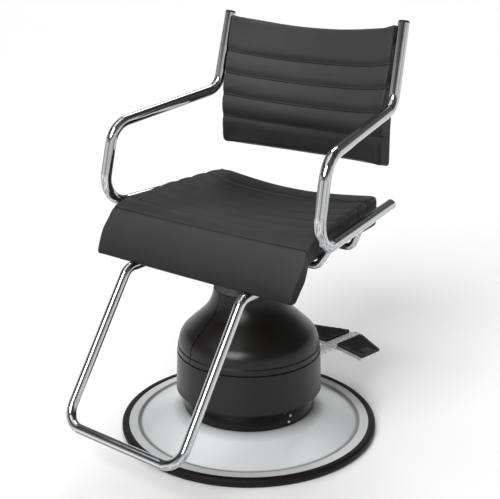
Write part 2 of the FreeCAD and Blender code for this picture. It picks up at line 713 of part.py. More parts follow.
def make_plunger(aim):
    """Pump plunger with a domed head, and the spring that lifts it."""
    plunger = turned("pump_plunger", [
        ("0", "plunger_foot"),
        ("plunger_radius", "plunger_foot"),
        ("plunger_radius", "plunger_top - 9"),
        ("plunger_radius + 3", "plunger_top - 9"),
        ("plunger_radius + 3", "plunger_top - 6"),
        ("plunger_radius", "plunger_top - 6"),
        ("plunger_radius", "plunger_top", "5.8"),
        ("0", "plunger_top"),
    ])
    spot = aim.multVec(V(size("plunger_reach"), 0, 0))
    plunger.Placement = FreeCAD.Placement(spot, aim)
    keep(plunger, "pump_plunger")
    low = size("block_top")
    high = size("plunger_top") - 9
    wire = size("spring_wire")
    helix = doc.addObject("Part::Helix", "SpringLine")
    helix.Pitch = (high - low - 2 * wire) / 3.0
    helix.Height = high - low - 2 * wire
    bind(helix, "Radius", "spring_radius - 1")
    helix.Placement = FreeCAD.Placement(spot + V(0, 0, low + wire), aim)
    section = doc.addObject("Part::Circle", "SpringWire")
    bind(section, "Radius", "spring_wire")
    section.Placement = FreeCAD.Placement(
        spot + aim.multVec(V(size("spring_radius") - 1, 0, 0)) + V(0, 0, low + wire),
        FreeCAD.Rotation(Z_AXIS, aim.multVec(V(0, 1, 0))))
    sweep = doc.addObject("Part::Sweep", "return_spring")
    sweep.Sections = [section]
    sweep.Spine = (helix, [])
    sweep.Solid = True
    sweep.Frenet = True
    keep(sweep, "return_spring")


def make_ram():
    """Ram, thrust bearing and the washer and bolt that keep the seat's hub on."""
    keep(turned("lift_ram", [
        ("0", "ram_foot"),
        ("ram_radius", "ram_foot"),
        ("ram_radius", "ram_shoulder - 2"),
        ("ram_radius - 2", "ram_shoulder"),
        ("spigot_radius", "ram_shoulder"),
        ("spigot_radius", "spigot_top"),
        ("0", "spigot_top"),
    ]), "lift_ram")
    keep(turned("thrust_bearing", [
        ("spigot_radius", "ram_shoulder"),
        ("bearing_radius", "ram_shoulder"),
        ("bearing_radius", "ram_shoulder + bearing_thick"),
        ("spigot_radius", "ram_shoulder + bearing_thick"),
    ]), "thrust_bearing")
    washer = turned("RetainerWasher", [
        ("0", "spigot_top"),
        ("retainer_radius", "spigot_top"),
        ("retainer_radius", "spigot_top + retainer_thick"),
        ("0", "spigot_top + retainer_thick"),
    ])
    head = hexagon("RetainerHead", "11", "7", lift("spigot_top + retainer_thick"))
    keep(fused("hub_retainer", [washer, head]), "hub_retainer")


def make_seat_mount():
    """Hub on the ram and the steel plate that it carries."""
    upside_down = FreeCAD.Placement(V(0, 0, 0), FreeCAD.Rotation(V(1, 0, 0), 180))
    places = [p.multiply(upside_down) for p in ring_places("hub_bolt_circle", 4, 45, "hub_flange_foot")]
    holes = hex_bolts("hub_bolts", places, "7.5", "5.5", "hub_bolt",
                      "mount_plate_foot + mount_plate_thick - hub_flange_foot")
    hub = turned("HubBlank", [
        ("hub_bore", "ram_shoulder + bearing_thick + hub_gap"),
        ("hub_radius", "ram_shoulder + bearing_thick + hub_gap"),
        ("hub_radius", "hub_flange_foot", "8"),
        ("hub_flange_radius", "hub_flange_foot"),
        ("hub_flange_radius", "mount_plate_foot"),
        ("hub_pocket_radius", "mount_plate_foot"),
        ("hub_pocket_radius", "hub_pocket_floor"),
        ("hub_bore", "hub_pocket_floor"),
    ])
    keep(minus("seat_hub", hub, holes), "seat_hub")
    plate = padded("PlateSlab", "XY_Plane", [
        (negative("mount_plate_half_width"), negative("mount_plate_front"), "mount_plate_round"),
        ("mount_plate_half_width", negative("mount_plate_front"), "mount_plate_round"),
        ("mount_plate_half_width", "mount_plate_back", "mount_plate_round"),
        (negative("mount_plate_half_width"), "mount_plate_back", "mount_plate_round"),
    ], "mount_plate_thick", lift("mount_plate_foot"))
    places = []
    for side in (-1, 1):
        for across in (-size("clamp_bolt_set"), size("clamp_bolt_set")):
            places.append(FreeCAD.Placement(
                V(side * size("foot_half_width") + across, size("clamp_length") / 2 - size("clamp_front"),
                  size("mount_plate_foot + mount_plate_thick")), FreeCAD.Rotation()))
    clamp_holes = hex_bolts("footrest_clamp_bolts", places, "7.5", "5.5", "clamp_bolt", "mount_plate_thick + 24")
    keep(minus("mounting_plate", plate, fused("PlateHoles", [holes, clamp_holes])), "mounting_plate")
    return clamp_holes


def frame_placement(side):
    return FreeCAD.Placement(V(side * size("frame_offset"), 0, 0),
                             FreeCAD.Rotation(Z_AXIS, side * size("frame_taper")))


def make_side_frame(side, name):
    """One bent tube: upright, arm, front post and seat rail."""
    line = [
        ("upright_top_y", "upright_top_z"),
        ("back_bend_y", "back_bend_z", "back_bend_round"),
        (negative("arm_front_y"), "arm_front_z", "arm_front_round"),
        (negative("rail_front_y"), "rail_front_z", "rail_front_round"),
        ("rail_back_y", "rail_back_z"),
    ]
    core = rod("FrameCore" + name.title(), line, "YZ_Plane", "tube_radius")
    core.Placement = frame_placement(side)
    bore = rod("FrameBore" + name.title(), line, "YZ_Plane", "tube_radius - tube_wall")
    bore.Placement = frame_placement(side)
    keep(minus("side_frame_" + name, core, bore), "side_frame_" + name)
    ends = (
        ("upright_cap_", V(0, size("upright_top_y"), size("upright_top_z")),
         V(0, size("upright_top_y - back_bend_y"), size("upright_top_z - back_bend_z"))),
        ("rail_cap_", V(0, size("rail_back_y"), size("rail_back_z")),
         V(0, size("rail_back_y + rail_front_y"), size("rail_back_z - rail_front_z"))),
    )
    for prefix, point, along in ends:
        cap = turned(prefix + name, [
            ("0", "0 - 16"),
            ("tube_radius - tube_wall", "0 - 16"),
            ("tube_radius - tube_wall", "0"),
            ("tube_radius", "0"),
            ("tube_radius", "cap_dome", "cap_dome - 1"),
            ("0", "cap_dome"),
        ])
        place = frame_placement(side)
        cap.Placement = FreeCAD.Placement(place.multVec(point), FreeCAD.Rotation(
            Z_AXIS, place.Rotation.multVec(along)))
        keep(cap, prefix + name)
    return core


def hollow_cross(label, line, role, offset, cores, placement=None):
    """A thin tube across the chair, coped to the two side frames."""
    outer = rod(label + "Core", line, role, "cross_radius", offset)
    inner = rod(label + "Bore", line, role, "cross_radius - cross_wall", offset)
    for piece in (outer, inner):
        if placement is not None:
            piece.Placement = placement
    tool = fused(label + "Tools", [inner] + cores)
    return keep(minus(label, outer, tool), label)


def make_cross_tubes(cores):
    """The two tubes under the seat pan."""
    rows = (
        ("seat_cross_tube_front", "front_cross_end_x", "front_cross_end_z", "front_cross_bend_x", "front_cross_y"),
        ("seat_cross_tube_rear", "back_cross_end_x", "back_cross_end_z", "back_cross_bend_x",
         negative("back_cross_y")),
    )
    for label, end_x, end_z, bend_x, depth in rows:
        line = [
            (negative(end_x), end_z),
            (negative(bend_x), "cross_height", "cross_round"),
            (bend_x, "cross_height", "cross_round"),
            (end_x, end_z),
        ]
        hollow_cross(label, line, "XZ_Plane", lift(depth), cores)


def bent_tube_shape(corners, radii, radius):
    """A round bar along a bent line in space."""
    edges = []
    start = corners[0]
    for i in range(1, len(corners) - 1):
        enter, leave, middle = corner_cut(corners[i - 1], corners[i], corners[i + 1], radii[i - 1])
        bow = middle + (corners[i] - middle).normalize() * radii[i - 1]
        edges.append(Part.LineSegment(start, enter).toShape())
        edges.append(Part.Arc(enter, bow, leave).toShape())
        start = leave
    edges.append(Part.LineSegment(start, corners[-1]).toShape())
    wire = Part.Wire(edges)
    ring = Part.Wire(Part.Circle(corners[0], corners[1] - corners[0], radius).toShape())
    return wire.makePipeShell([ring], True, False, 1)


def make_footrest(clamp_holes):
    """U-shaped tube that hangs from two clamps under the mounting plate."""
    wide = size("foot_half_width")
    corners = [
        V(-wide, -size("foot_back_y"), size("foot_top_z")),
        V(-wide, -size("foot_bend_y"), size("foot_top_z")),
        V(-wide, -size("foot_bar_y"), size("foot_bar_z")),
        V(wide, -size("foot_bar_y"), size("foot_bar_z")),
        V(wide, -size("foot_bend_y"), size("foot_top_z")),
        V(wide, -size("foot_back_y"), size("foot_top_z")),
    ]
    radii = [size("foot_bend_round"), size("foot_bar_round"), size("foot_bar_round"), size("foot_bend_round")]
    tube = doc.addObject("Part::Feature", "footrest_tube")
    outer = bent_tube_shape(corners, radii, size("foot_tube"))
    inner = bent_tube_shape(corners, radii, size("foot_tube - foot_tube_wall"))
    tube.Shape = outer.cut(inner)
    tube.Placement = FreeCAD.Placement()
    keep(tube, "footrest_tube")
    for side, sign in (("left", -1), ("right", 1)):
        spot = V(sign * wide, -size("foot_back_y"), size("foot_top_z"))
        cap = turned("footrest_cap_" + side, [
            ("0", "0 - 14"),
            ("foot_tube - foot_tube_wall", "0 - 14"),
            ("foot_tube - foot_tube_wall", "0"),
            ("foot_tube", "0"),
            ("foot_tube", "3"),
            ("0", "3"),
        ])
        cap.Placement = FreeCAD.Placement(spot, FreeCAD.Rotation(Z_AXIS, V(0, 1, 0)))
        keep(cap, "footrest_cap_" + side)
        block = doc.addObject("Part::Box", "ClampBlock" + side.title())
        bind(block, "Length", "clamp_half_width + clamp_half_width")
        bind(block, "Width", "clamp_length")
        bind(block, "Height", "mount_plate_foot - clamp_foot")
        block.Placement = FreeCAD.Placement(
            V(sign * wide - size("clamp_half_width"), -size("clamp_front"), size("clamp_foot")),
            FreeCAD.Rotation())
        bore = cylinder("ClampBore" + side.title(), "foot_tube", "clamp_length + 20", FreeCAD.Placement(
            V(sign * wide, -size("clamp_front") - 10, size("foot_top_z")),
            FreeCAD.Rotation(Z_AXIS, V(0, 1, 0))))
        label = "footrest_clamp_" + side
        keep(minus(label, block, fused("ClampHoles" + side.title(), [bore, clamp_holes])), label)


def seat_plan(name, inset, back):
    """The seat's outline from above: wider in front, with rounded rear corners."""
    front = "seat_half_front" + inset + " + 2"
    rear = "seat_half_back" + inset
    return padded(name, "XY_Plane", [
        (negative(front), "0 - 250"),
        (front, "0 - 250"),
        (rear, back, "seat_corner_round"),
        (negative(rear), back, "seat_corner_round"),
    ], "200", lift("400"))


def make_seat():
    """Bent seat pan and the cushion that rolls over its front."""
    pan = padded("PanBlank", "YZ_Plane", [
        ("pan_back_y + 20", "pan_foot"),
        ("pan_back_y + 20", "pan_foot + pan_thick"),
        (negative("lip_root_y"), "pan_foot + pan_thick", "12"),
        (negative("lip_inner_y"), "lip_z"),
        (negative("lip_board_y"), "lip_z"),
        (negative("lip_board_root_y"), "pan_foot", "8"),
    ], "600", both_ways=True)
    keep(both("seat_pan", pan, seat_plan("PanPlan", " - pan_inset", "pan_back_y")), "seat_pan")
    cushion = padded("CushionBlank", "YZ_Plane", [
        ("seat_back_y", "pan_foot + pan_thick"),
        ("seat_back_y", "seat_back_z", "seat_back_round"),
        (negative("seat_front_y"), "seat_front_z", "seat_front_round"),
        (negative("lip_y"), "lip_z", "lip_round"),
        (negative("lip_inner_y"), "lip_z"),
        (negative("lip_root_y"), "pan_foot + pan_thick", "12"),
    ], "600", both_ways=True)
    keep(both("seat_cushion", cushion, seat_plan("CushionPlan", "", "seat_back_y")), "seat_cushion")
    saddles = []
    spots = ((-150.0, -100.0), (0.0, -100.0), (150.0, -100.0), (-150.0, 50.0), (0.0, 50.0), (150.0, 50.0))
    for i, (x, y) in enumerate(spots):
        block = doc.addObject("Part::Box", "SaddleBlock%d" % i)
        block.Length = 22
        block.Width = 44
        bind(block, "Height", "pan_foot - mount_plate_foot - mount_plate_thick")
        block.Placement = FreeCAD.Placement(
            V(x - 11, y - 22, size("mount_plate_foot + mount_plate_thick")), FreeCAD.Rotation())
        hole = cylinder("SaddleHole%d" % i, "cross_radius", "40", FreeCAD.Placement(
            V(x - 20, y, size("cross_height")), FreeCAD.Rotation(Z_AXIS, V(1, 0, 0))))
        slit = doc.addObject("Part::Box", "SaddleSlit%d" % i)
        slit.Length = 40
        slit.Width = 8
        slit.Height = 30
        slit.Placement = FreeCAD.Placement(V(x - 20, y - 4, size("cross_height") - 15), FreeCAD.Rotation())
        saddles.append(minus("Saddle%d" % i, block, fused("SaddleTools%d" % i, [hole, slit])))
    keep(grouped("cross_tube_saddles", saddles), "cross_tube_saddles")


def back_placement():
    return FreeCAD.Placement(V(0, size("back_origin_y"), size("back_origin_z")),
                             FreeCAD.Rotation(V(1, 0, 0), -size("back_lean")))


def curved_slab(name, points, half_width, low, high, corner, top_corner):
    """A section swung about the backrest's upright axis and trimmed to its outline."""
    axis = FreeCAD.Placement(V(0, -size("back_curve_y"), 0), FreeCAD.Rotation(Z_AXIS, 90 - 34))
    swung = turned(name + "Swing", points, 68.0)
    swung.Placement = back_placement().multiply(axis)
    frame = padded(name + "Trim", "XZ_Plane", [
        (negative(half_width), low, corner),
        (half_width, low, corner),
        (half_width, high, top_corner),
        (negative(half_width), high, top_corner),
    ], "400", both_ways=True)
    frame.Placement = back_placement()
    return both(name, swung, frame)


def make_backrest(cores):
    """Curved pad, rear panel and the two tubes that hold them between the uprights."""
    front = "back_curve"
    rear = "back_curve + back_thick"
    pad = curved_slab("PadBlank", [
        (front + " + back_foot_set", "0", "back_edge_round"),
        (rear + " + back_foot_set", "0", "back_edge_round"),
        (rear, "back_waist", "back_waist_round"),
        (rear, "back_height", "back_edge_round"),
        (front, "back_height", "back_edge_round"),
        (front, "back_waist", "back_waist_round"),
    ], "back_half_width", "0", "back_height", "back_corner_round", "back_top_round")
    keep(curved_slab("backrest_shell", [
        (rear + " + back_foot_set", "0"),
        (rear + " + back_foot_set + shell_thick", "0"),
        (rear + " + shell_thick", "back_waist", "back_waist_round"),
        (rear + " + shell_thick", "back_height"),
        (rear, "back_height"),
        (rear, "back_waist", "back_waist_round"),
    ], "shell_half_width", "shell_foot", "shell_top", "20", "12"), "backrest_shell")
    slots = []
    for label, height in (("back_cross_tube_lower", "back_tube_low"), ("back_cross_tube_upper", "back_tube_high")):
        line = [
            (negative("back_tube_end_x"), "0"),
            (negative("back_tube_corner_x"), "back_tube_corner_y", "back_tube_corner_round"),
            ("0", "back_tube_middle_y", "back_tube_curve"),
            ("back_tube_corner_x", "back_tube_corner_y", "back_tube_corner_round"),
            ("back_tube_end_x", "0"),
        ]
        hollow_cross(label, line, "XY_Plane", lift(height), cores, back_placement())
        slot = rod(label + "Room", line, "XY_Plane", "cross_radius + pad_relief", lift(height))
        slot.Placement = back_placement()
        slots.append(slot)
    keep(minus("backrest_pad", pad, fused("PadSlots", slots)), "backrest_pad")


def check_and_write():
    doc.recompute()
    for thing in doc.Objects:
        if "Invalid" in thing.State or "Error" in thing.State:
            raise RuntimeError(thing.Name + " failed: " + str(thing.State))
    os.makedirs("parts", exist_ok=True)
    for thing in NODES:
        shape = thing.Shape
        if shape.isNull() or not shape.isValid() or shape.Volume <= 0:
            raise RuntimeError(thing.Label + " has no valid shape")
        print("%-24s %2d solids %10.1f mm3" % (thing.Label, len(shape.Solids), shape.Volume))
    for thing in NODES:
        thing.Shape.exportStep("parts/" + thing.Label + ".step")


flange_holes = make_base()
pedal_aim = make_pump(flange_holes)
make_cover(pedal_aim)
make_pedal(pedal_aim)
make_plunger(pedal_aim)
make_ram()
mount_holes = make_seat_mount()
frame_cores = [make_side_frame(-1, "left"), make_side_frame(1, "right")]
make_cross_tubes(frame_cores)
make_footrest(mount_holes)
make_seat()
make_backrest(frame_cores)
check_and_write()
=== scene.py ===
# Looks of a hydraulic salon styling chair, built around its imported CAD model. Metres, in the CAD's
# own frame: +Z up, the sitter faces -Y, the origin on the floor under the column.

import json
import math

import bmesh
import bpy
import numpy as np
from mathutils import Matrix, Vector


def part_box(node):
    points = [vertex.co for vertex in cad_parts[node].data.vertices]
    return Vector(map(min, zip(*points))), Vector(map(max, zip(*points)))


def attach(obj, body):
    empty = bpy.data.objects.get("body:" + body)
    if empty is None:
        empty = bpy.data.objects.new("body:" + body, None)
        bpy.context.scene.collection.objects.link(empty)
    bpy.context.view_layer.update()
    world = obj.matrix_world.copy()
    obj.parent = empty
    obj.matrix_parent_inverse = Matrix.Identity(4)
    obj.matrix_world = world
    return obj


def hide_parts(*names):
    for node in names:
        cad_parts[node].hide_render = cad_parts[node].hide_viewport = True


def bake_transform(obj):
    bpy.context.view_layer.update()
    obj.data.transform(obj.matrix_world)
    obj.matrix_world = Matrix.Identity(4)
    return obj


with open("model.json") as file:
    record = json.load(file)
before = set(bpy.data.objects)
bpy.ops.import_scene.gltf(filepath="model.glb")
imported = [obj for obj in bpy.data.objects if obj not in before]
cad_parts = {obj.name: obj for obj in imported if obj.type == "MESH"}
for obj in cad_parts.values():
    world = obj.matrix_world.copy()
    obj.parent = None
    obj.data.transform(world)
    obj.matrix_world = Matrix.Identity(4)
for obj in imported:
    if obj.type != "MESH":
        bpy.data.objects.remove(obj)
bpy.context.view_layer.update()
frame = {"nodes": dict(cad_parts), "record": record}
nodes = frame["nodes"]


# ---------------------------------------------------------------- materials

class Surface:
    """A Principled material with short ways to add the nodes of its texture."""

    # the colour sockets of a Mix node, which share their names with its float sockets
    MIX_A = 6
    MIX_B = 7
    MIX_RESULT = 2

    def __init__(self, name, color, roughness, metallic=0.0, **sockets):
        self.material = bpy.data.materials.new(name)
        self.material.use_nodes = True
        self.tree = self.material.node_tree
        self.shader = self.tree.nodes["Principled BSDF"]
        self.set("Base Color", (*color, 1.0))
        self.set("Roughness", roughness)
        self.set("Metallic", metallic)
        for socket, value in sockets.items():
            self.set(socket.replace("_", " "), value)
        self.place = self.add("ShaderNodeTexCoord").outputs["Object"]

    def set(self, socket, value):
        self.shader.inputs[socket].default_value = value

    def add(self, kind, **settings):
        node = self.tree.nodes.new(kind)
        for key, value in settings.items():
            setattr(node, key, value)
        return node

    def link(self, output, node, socket):
        self.tree.links.new(output, node.inputs[socket])

    def math(self, operation, first, second=None):
        node = self.add("ShaderNodeMath", operation=operation)
        for i, value in enumerate((first, second)):
            if value is None:
                continue
            if isinstance(value, (int, float)):
                node.inputs[i].default_value = value
            else:
                self.link(value, node, i)
        return node.outputs[0]

    def mapped(self, scale):
        """Object coordinates stretched by a scale for each axis."""
        node = self.add("ShaderNodeMapping")
        node.inputs["Scale"].default_value = scale
        self.link(self.place, node, "Vector")
        return node.outputs["Vector"]

    def noise(self, scale, detail=2.0, roughness=0.5, distortion=0.0, where=None):
        node = self.add("ShaderNodeTexNoise")
        node.inputs["Scale"].default_value = scale
        node.inputs["Detail"].default_value = detail
        node.inputs["Roughness"].default_value = roughness
        node.inputs["Distortion"].default_value = distortion
        self.link(where or self.place, node, "Vector")
        return node.outputs["Fac"]

    def cells(self, scale):
        """Distance to the nearest wall between small cells."""
        node = self.add("ShaderNodeTexVoronoi", feature="DISTANCE_TO_EDGE")
        node.inputs["Scale"].default_value = scale
        self.link(self.place, node, "Vector")
        return node.outputs["Distance"]

    def span(self, value, low, high, start=0.0, end=1.0):
        """The value moved from low..high to start..end, and held there."""
        node = self.add("ShaderNodeMapRange")
        self.link(value, node, "Value")
        node.inputs["From Min"].default_value = low
        node.inputs["From Max"].default_value = high
        node.inputs["To Min"].default_value = start
        node.inputs["To Max"].default_value = end
        return node.outputs["Result"]

    def shades(self, factor, *colors):
        """Base colour blended between colours as the factor goes from 0 to 1."""
        node = self.add("ShaderNodeValToRGB")
        self.link(factor, node, "Fac")
        ramp = node.color_ramp
        while len(ramp.elements) < len(colors):
            ramp.elements.new(0.5)
        for i, color in enumerate(colors):
            ramp.elements[i].position = i / (len(colors) - 1)
            ramp.elements[i].color = (*color, 1.0)
        self.link(node.outputs["Color"], self.shader, "Base Color")

    def bands(self, value, *stops):
        """A value turned into brightness, read from (value, brightness) stops."""
        node = self.add("ShaderNodeValToRGB")
        self.link(value, node, "Fac")
        ramp = node.color_ramp
        while len(ramp.elements) < len(stops):
            ramp.elements.new(0.5)
        for element, (position, level) in zip(ramp.elements, stops):
            element.position = position
            element.color = (level, level, level, 1.0)
        return node.outputs["Color"]

    def shaded_by(self, *levels):
        """Multiplies the base colour by each brightness level."""
        for level in levels:
            color = self.shader.inputs["Base Color"].links[0].from_socket
            node = self.add("ShaderNodeMix", data_type="RGBA", blend_type="MULTIPLY")
            node.inputs["Factor"].default_value = 1.0
            self.link(color, node, self.MIX_A)
            self.link(level, node, self.MIX_B)
            self.link(node.outputs[self.MIX_RESULT], self.shader, "Base Color")

    def parts(self, vector):
        """The X, Y and Z of a vector."""
        split = self.add("ShaderNodeSeparateXYZ")
        self.link(vector, split, "Vector")
        return split.outputs

    def normal(self):
        """Which way the surface faces."""
        return self.add("ShaderNodeNewGeometry").outputs["Normal"]

    def rise(self):
        """0 where the surface faces down, 0.5 where it stands upright, 1 where it faces up."""
        return self.span(self.parts(self.normal())["Z"], -1.0, 1.0)

    def rough(self, factor, low, high):
        self.link(self.span(factor, 0.0, 1.0, low, high), self.shader, "Roughness")

    def bump(self, height, distance, strength=1.0, after=None):
        node = self.add("ShaderNodeBump")
        node.inputs["Distance"].default_value = distance
        node.inputs["Strength"].default_value = strength
        self.link(height, node, "Height")
        if after is not None:
            self.link(after, node, "Normal")
        self.link(node.outputs["Normal"], self.shader, "Normal")
        return node.outputs["Normal"]


def tint(color, factor):
    return tuple(min(1.0, c * factor) for c in color)


def vinyl_surface(name, color, facing_shade, low, high, height_shade):
    """Charcoal upholstery vinyl with a fine pebbled grain.

    Its two tables of brightness are painted light and shade: one by the way the surface faces, from
    down to up, the other by height between low and high, mostly darker lower down. The seam attribute
    paints shade along the sewn lines.
    """
    s = Surface(name, color, 0.5, Specular_IOR_Level=0.16)
    s.set("Sheen Weight", 0.02)
    s.set("Sheen Roughness", 0.5)
    wear = s.noise(9.0, 4.0, 0.6)
    s.shades(wear, tint(color, 0.86), color, tint(color, 1.14))
    # Painted light and shade: brightness set by which way the surface faces and by its height, and
    # painted shade along the seams.
    level = s.span(s.parts(s.place)["Z"], low, high)
    seam = s.add("ShaderNodeAttribute", attribute_name="seam").outputs["Fac"]
    sewn = s.bands(seam, (0.0, 1.0), (0.45, 0.25), (1.0, 0.02))
    s.shaded_by(s.bands(s.rise(), *facing_shade), s.bands(level, *height_shade), sewn)
    s.rough(s.noise(23.0, 3.0), 0.45, 0.56)
    pebbles = s.cells(620.0)
    fine = s.noise(1500.0, 3.0)
    grain = s.math("ADD", s.span(pebbles, 0.0, 0.28), s.math("MULTIPLY", fine, 0.5))
    soft = s.bump(s.noise(55.0, 3.0), 0.0007, 0.35)
    s.bump(grain, 0.00022, 0.55, after=soft)
    return s.material


# (value of the streak noise, brightness): painted reflections along the tubes
CHROME_PAINTED_REFLECTIONS = ((0.36, 0.08), (0.43, 0.6), (0.47, 0.16), (0.53, 1.0), (0.58, 0.4), (0.66, 1.0))


def chrome_surface():
    """Plated tube: a mirror with faint polishing marks, slight waviness and painted reflections,
    light and dark stripes along it.
    """
    color = (0.43, 0.436, 0.446)
    s = Surface("chrome_plate", color, 0.05, 1.0)
    s.shades(s.noise(14.0, 3.0), tint(color, 1.75), tint(color, 1.9))
    # Painted reflection: light and dark stripes set by which way the surface faces.
    reflection_noise = s.noise(3.4, 3.0, 0.62, where=s.normal())
    s.shaded_by(s.bands(reflection_noise, *CHROME_PAINTED_REFLECTIONS))
    s.rough(s.noise(160.0, 4.0, 0.6), 0.02, 0.07)
    wavy = s.bump(s.noise(16.0, 1.0), 0.0012, 0.3)
    s.bump(s.noise(900.0, 2.0), 0.00003, 0.4, after=wavy)
    return s.material


PLATE_INNER = 0.150             # where the plate's shading starts and ends, from its middle
PLATE_OUTER = 0.290
# (share of the way from inner to outer, brightness)
PLATE_RINGS = ((0.0, 0.30), (0.10, 0.66), (0.25, 1.0), (0.76, 0.92),
               (0.795, 0.26), (0.84, 0.32), (0.855, 0.80), (1.0, 0.80))
# the painted sheen is lightest along this direction from the middle and across from it
PLATE_PAINTED_SHEEN_AIM = math.radians(-52.0)


def plate_surface():
    """Stainless pressing, spun, with a painted sheen: lighter in two opposite wedges, darker between
    them.

    It is mostly matt: its dark rings stand for the cover and the rim reflected in a polished plate.
    """
    color = (0.93, 0.94, 0.95)
    s = Surface("polished_plate", color, 0.3, 0.30)
    x, y = s.parts(s.place)["X"], s.parts(s.place)["Y"]
    reach = s.math("SQRT", s.math("ADD", s.math("MULTIPLY", x, x), s.math("MULTIPLY", y, y)))
    turn = s.math("ARCTAN2", y, x)
    rings = s.add("ShaderNodeCombineXYZ")
    s.link(s.math("MULTIPLY", reach, 2600.0), rings, "X")
    s.link(s.math("MULTIPLY", turn, 2.2), rings, "Y")
    marks = s.noise(1.0, 3.0, 0.6, where=rings.outputs["Vector"])
    s.shades(s.noise(7.0, 2.0), tint(color, 0.93), tint(color, 1.04))
    # Painted sheen: lighter in two opposite wedges round the middle, darker between them, with a
    # faint ripple.
    painted_sheen_fan = s.math("COSINE", s.math("MULTIPLY", s.math("SUBTRACT", turn, PLATE_PAINTED_SHEEN_AIM), 2.0))
    ripple = s.noise(3.0, 2.0, where=rings.outputs["Vector"])
    sweep = s.math("ADD", s.math("MULTIPLY", painted_sheen_fan, 0.8), s.math("MULTIPLY", ripple, 0.2))
    bands = s.bands(s.span(reach, PLATE_INNER, PLATE_OUTER), *PLATE_RINGS)
    s.shaded_by(s.span(sweep, -0.8, 0.75, 0.70, 1.0), bands)
    s.rough(marks, 0.27, 0.40)
    s.bump(marks, 0.00006, 0.5)
    return s.material


def cover_surface(name, color, gloss, roughness):
    """Moulded plastic with a fine spark-eroded texture."""
    s = Surface(name, color, roughness, Specular_IOR_Level=gloss)
    s.shades(s.noise(6.0, 3.0, 0.55), tint(color, 0.85), color, tint(color, 1.2))
    s.rough(s.noise(40.0, 4.0, 0.6), roughness - 0.05, roughness + 0.06)
    flow = s.bump(s.noise(22.0, 2.0), 0.0004, 0.25)
    s.bump(s.noise(1700.0, 2.0), 0.00007, 0.5, after=flow)
    return s.material


def rubber_surface(name, color, roughness):
    """Moulded rubber, dusty and slightly uneven."""
    s = Surface(name, color, roughness, Specular_IOR_Level=0.14)
    dust = s.noise(18.0, 5.0, 0.65)
    s.shades(dust, tint(color, 0.75), color, tint(color, 1.35))
    s.rough(s.noise(60.0, 3.0), roughness - 0.07, roughness + 0.08)
    s.bump(s.noise(1100.0, 3.0), 0.00012, 0.5)
    return s.material


def metal_surface(name, color, roughness, metallic, grain):
    """Cast, turned, plated or painted metal for the working parts."""
    s = Surface(name, color, roughness, metallic)
    s.shades(s.noise(35.0, 4.0, 0.6), tint(color, 0.8), color, tint(color, 1.15))
    s.rough(s.noise(120.0, 3.0), roughness * 0.8, min(1.0, roughness * 1.25))
    s.bump(s.noise(grain, 3.0), 0.0001, 0.5)
    return s.material


def board_surface():
    """Plywood painted dark, with its grain just showing."""
    color = (0.03, 0.027, 0.025)
    s = Surface("painted_board", color, 0.6)
    veins = s.noise(60.0, 4.0, 0.6, 0.6, where=s.mapped((1.0, 0.08, 1.0)))
    s.shades(veins, tint(color, 0.7), color, tint(color, 1.5))
    s.rough(veins, 0.5, 0.7)
    s.bump(veins, 0.0002, 0.6)
    return s.material


SEAT_FOOT, SEAT_TOP = (corner.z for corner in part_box("seat_cushion"))
BACK_FOOT, BACK_TOP = (corner.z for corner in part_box("backrest_pad"))
# painted light and shade: (0 facing down to 1 facing up, brightness) and (share of the height,
# brightness)
SEAT_FACING_SHADE = ((0.30, 0.30), (0.47, 0.50), (0.56, 0.86), (0.66, 1.06), (0.86, 1.06), (1.0, 0.52))
SEAT_HEIGHT_SHADE = ((0.0, 0.50), (0.16, 0.72), (0.45, 1.1), (0.75, 1.45), (0.90, 1.15), (1.0, 1.0))
BACK_FACING_SHADE = ((0.30, 0.40), (0.47, 0.66), (0.56, 1.0), (0.66, 1.06), (0.86, 1.06), (1.0, 0.8))
BACK_HEIGHT_SHADE = ((0.0, 0.58), (0.22, 0.68), (0.34, 1.2), (0.7, 1.25), (0.9, 1.1), (1.0, 1.05))

# Seat and backrest are one vinyl: the backrest's copy is coloured lighter than the seat's, as painted
# light.
SEAT_VINYL = vinyl_surface("seat_vinyl", (0.0235, 0.0235, 0.024), SEAT_FACING_SHADE,
                           SEAT_FOOT, SEAT_TOP, SEAT_HEIGHT_SHADE)
BACK_VINYL = vinyl_surface("back_vinyl", (0.0300, 0.0300, 0.0305), BACK_FACING_SHADE,
                           BACK_FOOT, BACK_TOP, BACK_HEIGHT_SHADE)
CHROME = chrome_surface()
CAST_CHROME = metal_surface("chrome_casting", (0.66, 0.66, 0.67), 0.26, 0.45, 500.0)
PLATE = plate_surface()
COVER = cover_surface("satin_cover", (0.0068, 0.0060, 0.0055), 0.32, 0.30)
# The cover's plastic again, smoother, and coloured darker as painted shade.
SHADED_SKIRT = cover_surface("shaded_gloss_skirt", (0.0022, 0.0020, 0.0019), 0.22, 0.16)
RIM_RUBBER = rubber_surface("rim_rubber", (0.0062, 0.0052, 0.0045), 0.48)
PEDAL_RUBBER = rubber_surface("pedal_rubber", (0.029, 0.0285, 0.028), 0.5)
CAP_PLASTIC = rubber_surface("cap_plastic", (0.015, 0.015, 0.016), 0.35)
BACK_PLASTIC = rubber_surface("back_plastic", (0.02, 0.02, 0.021), 0.42)
CAST_IRON = metal_surface("painted_casting", (0.03, 0.03, 0.032), 0.5, 0.0, 350.0)
BLACK_STEEL = metal_surface("black_steel", (0.018, 0.018, 0.019), 0.42, 0.0, 900.0)
ZINC = metal_surface("zinc_steel", (0.62, 0.62, 0.6), 0.28, 1.0, 700.0)
BRASS = metal_surface("turned_brass", (0.42, 0.33, 0.2), 0.3, 1.0, 600.0)
BOARD = board_surface()

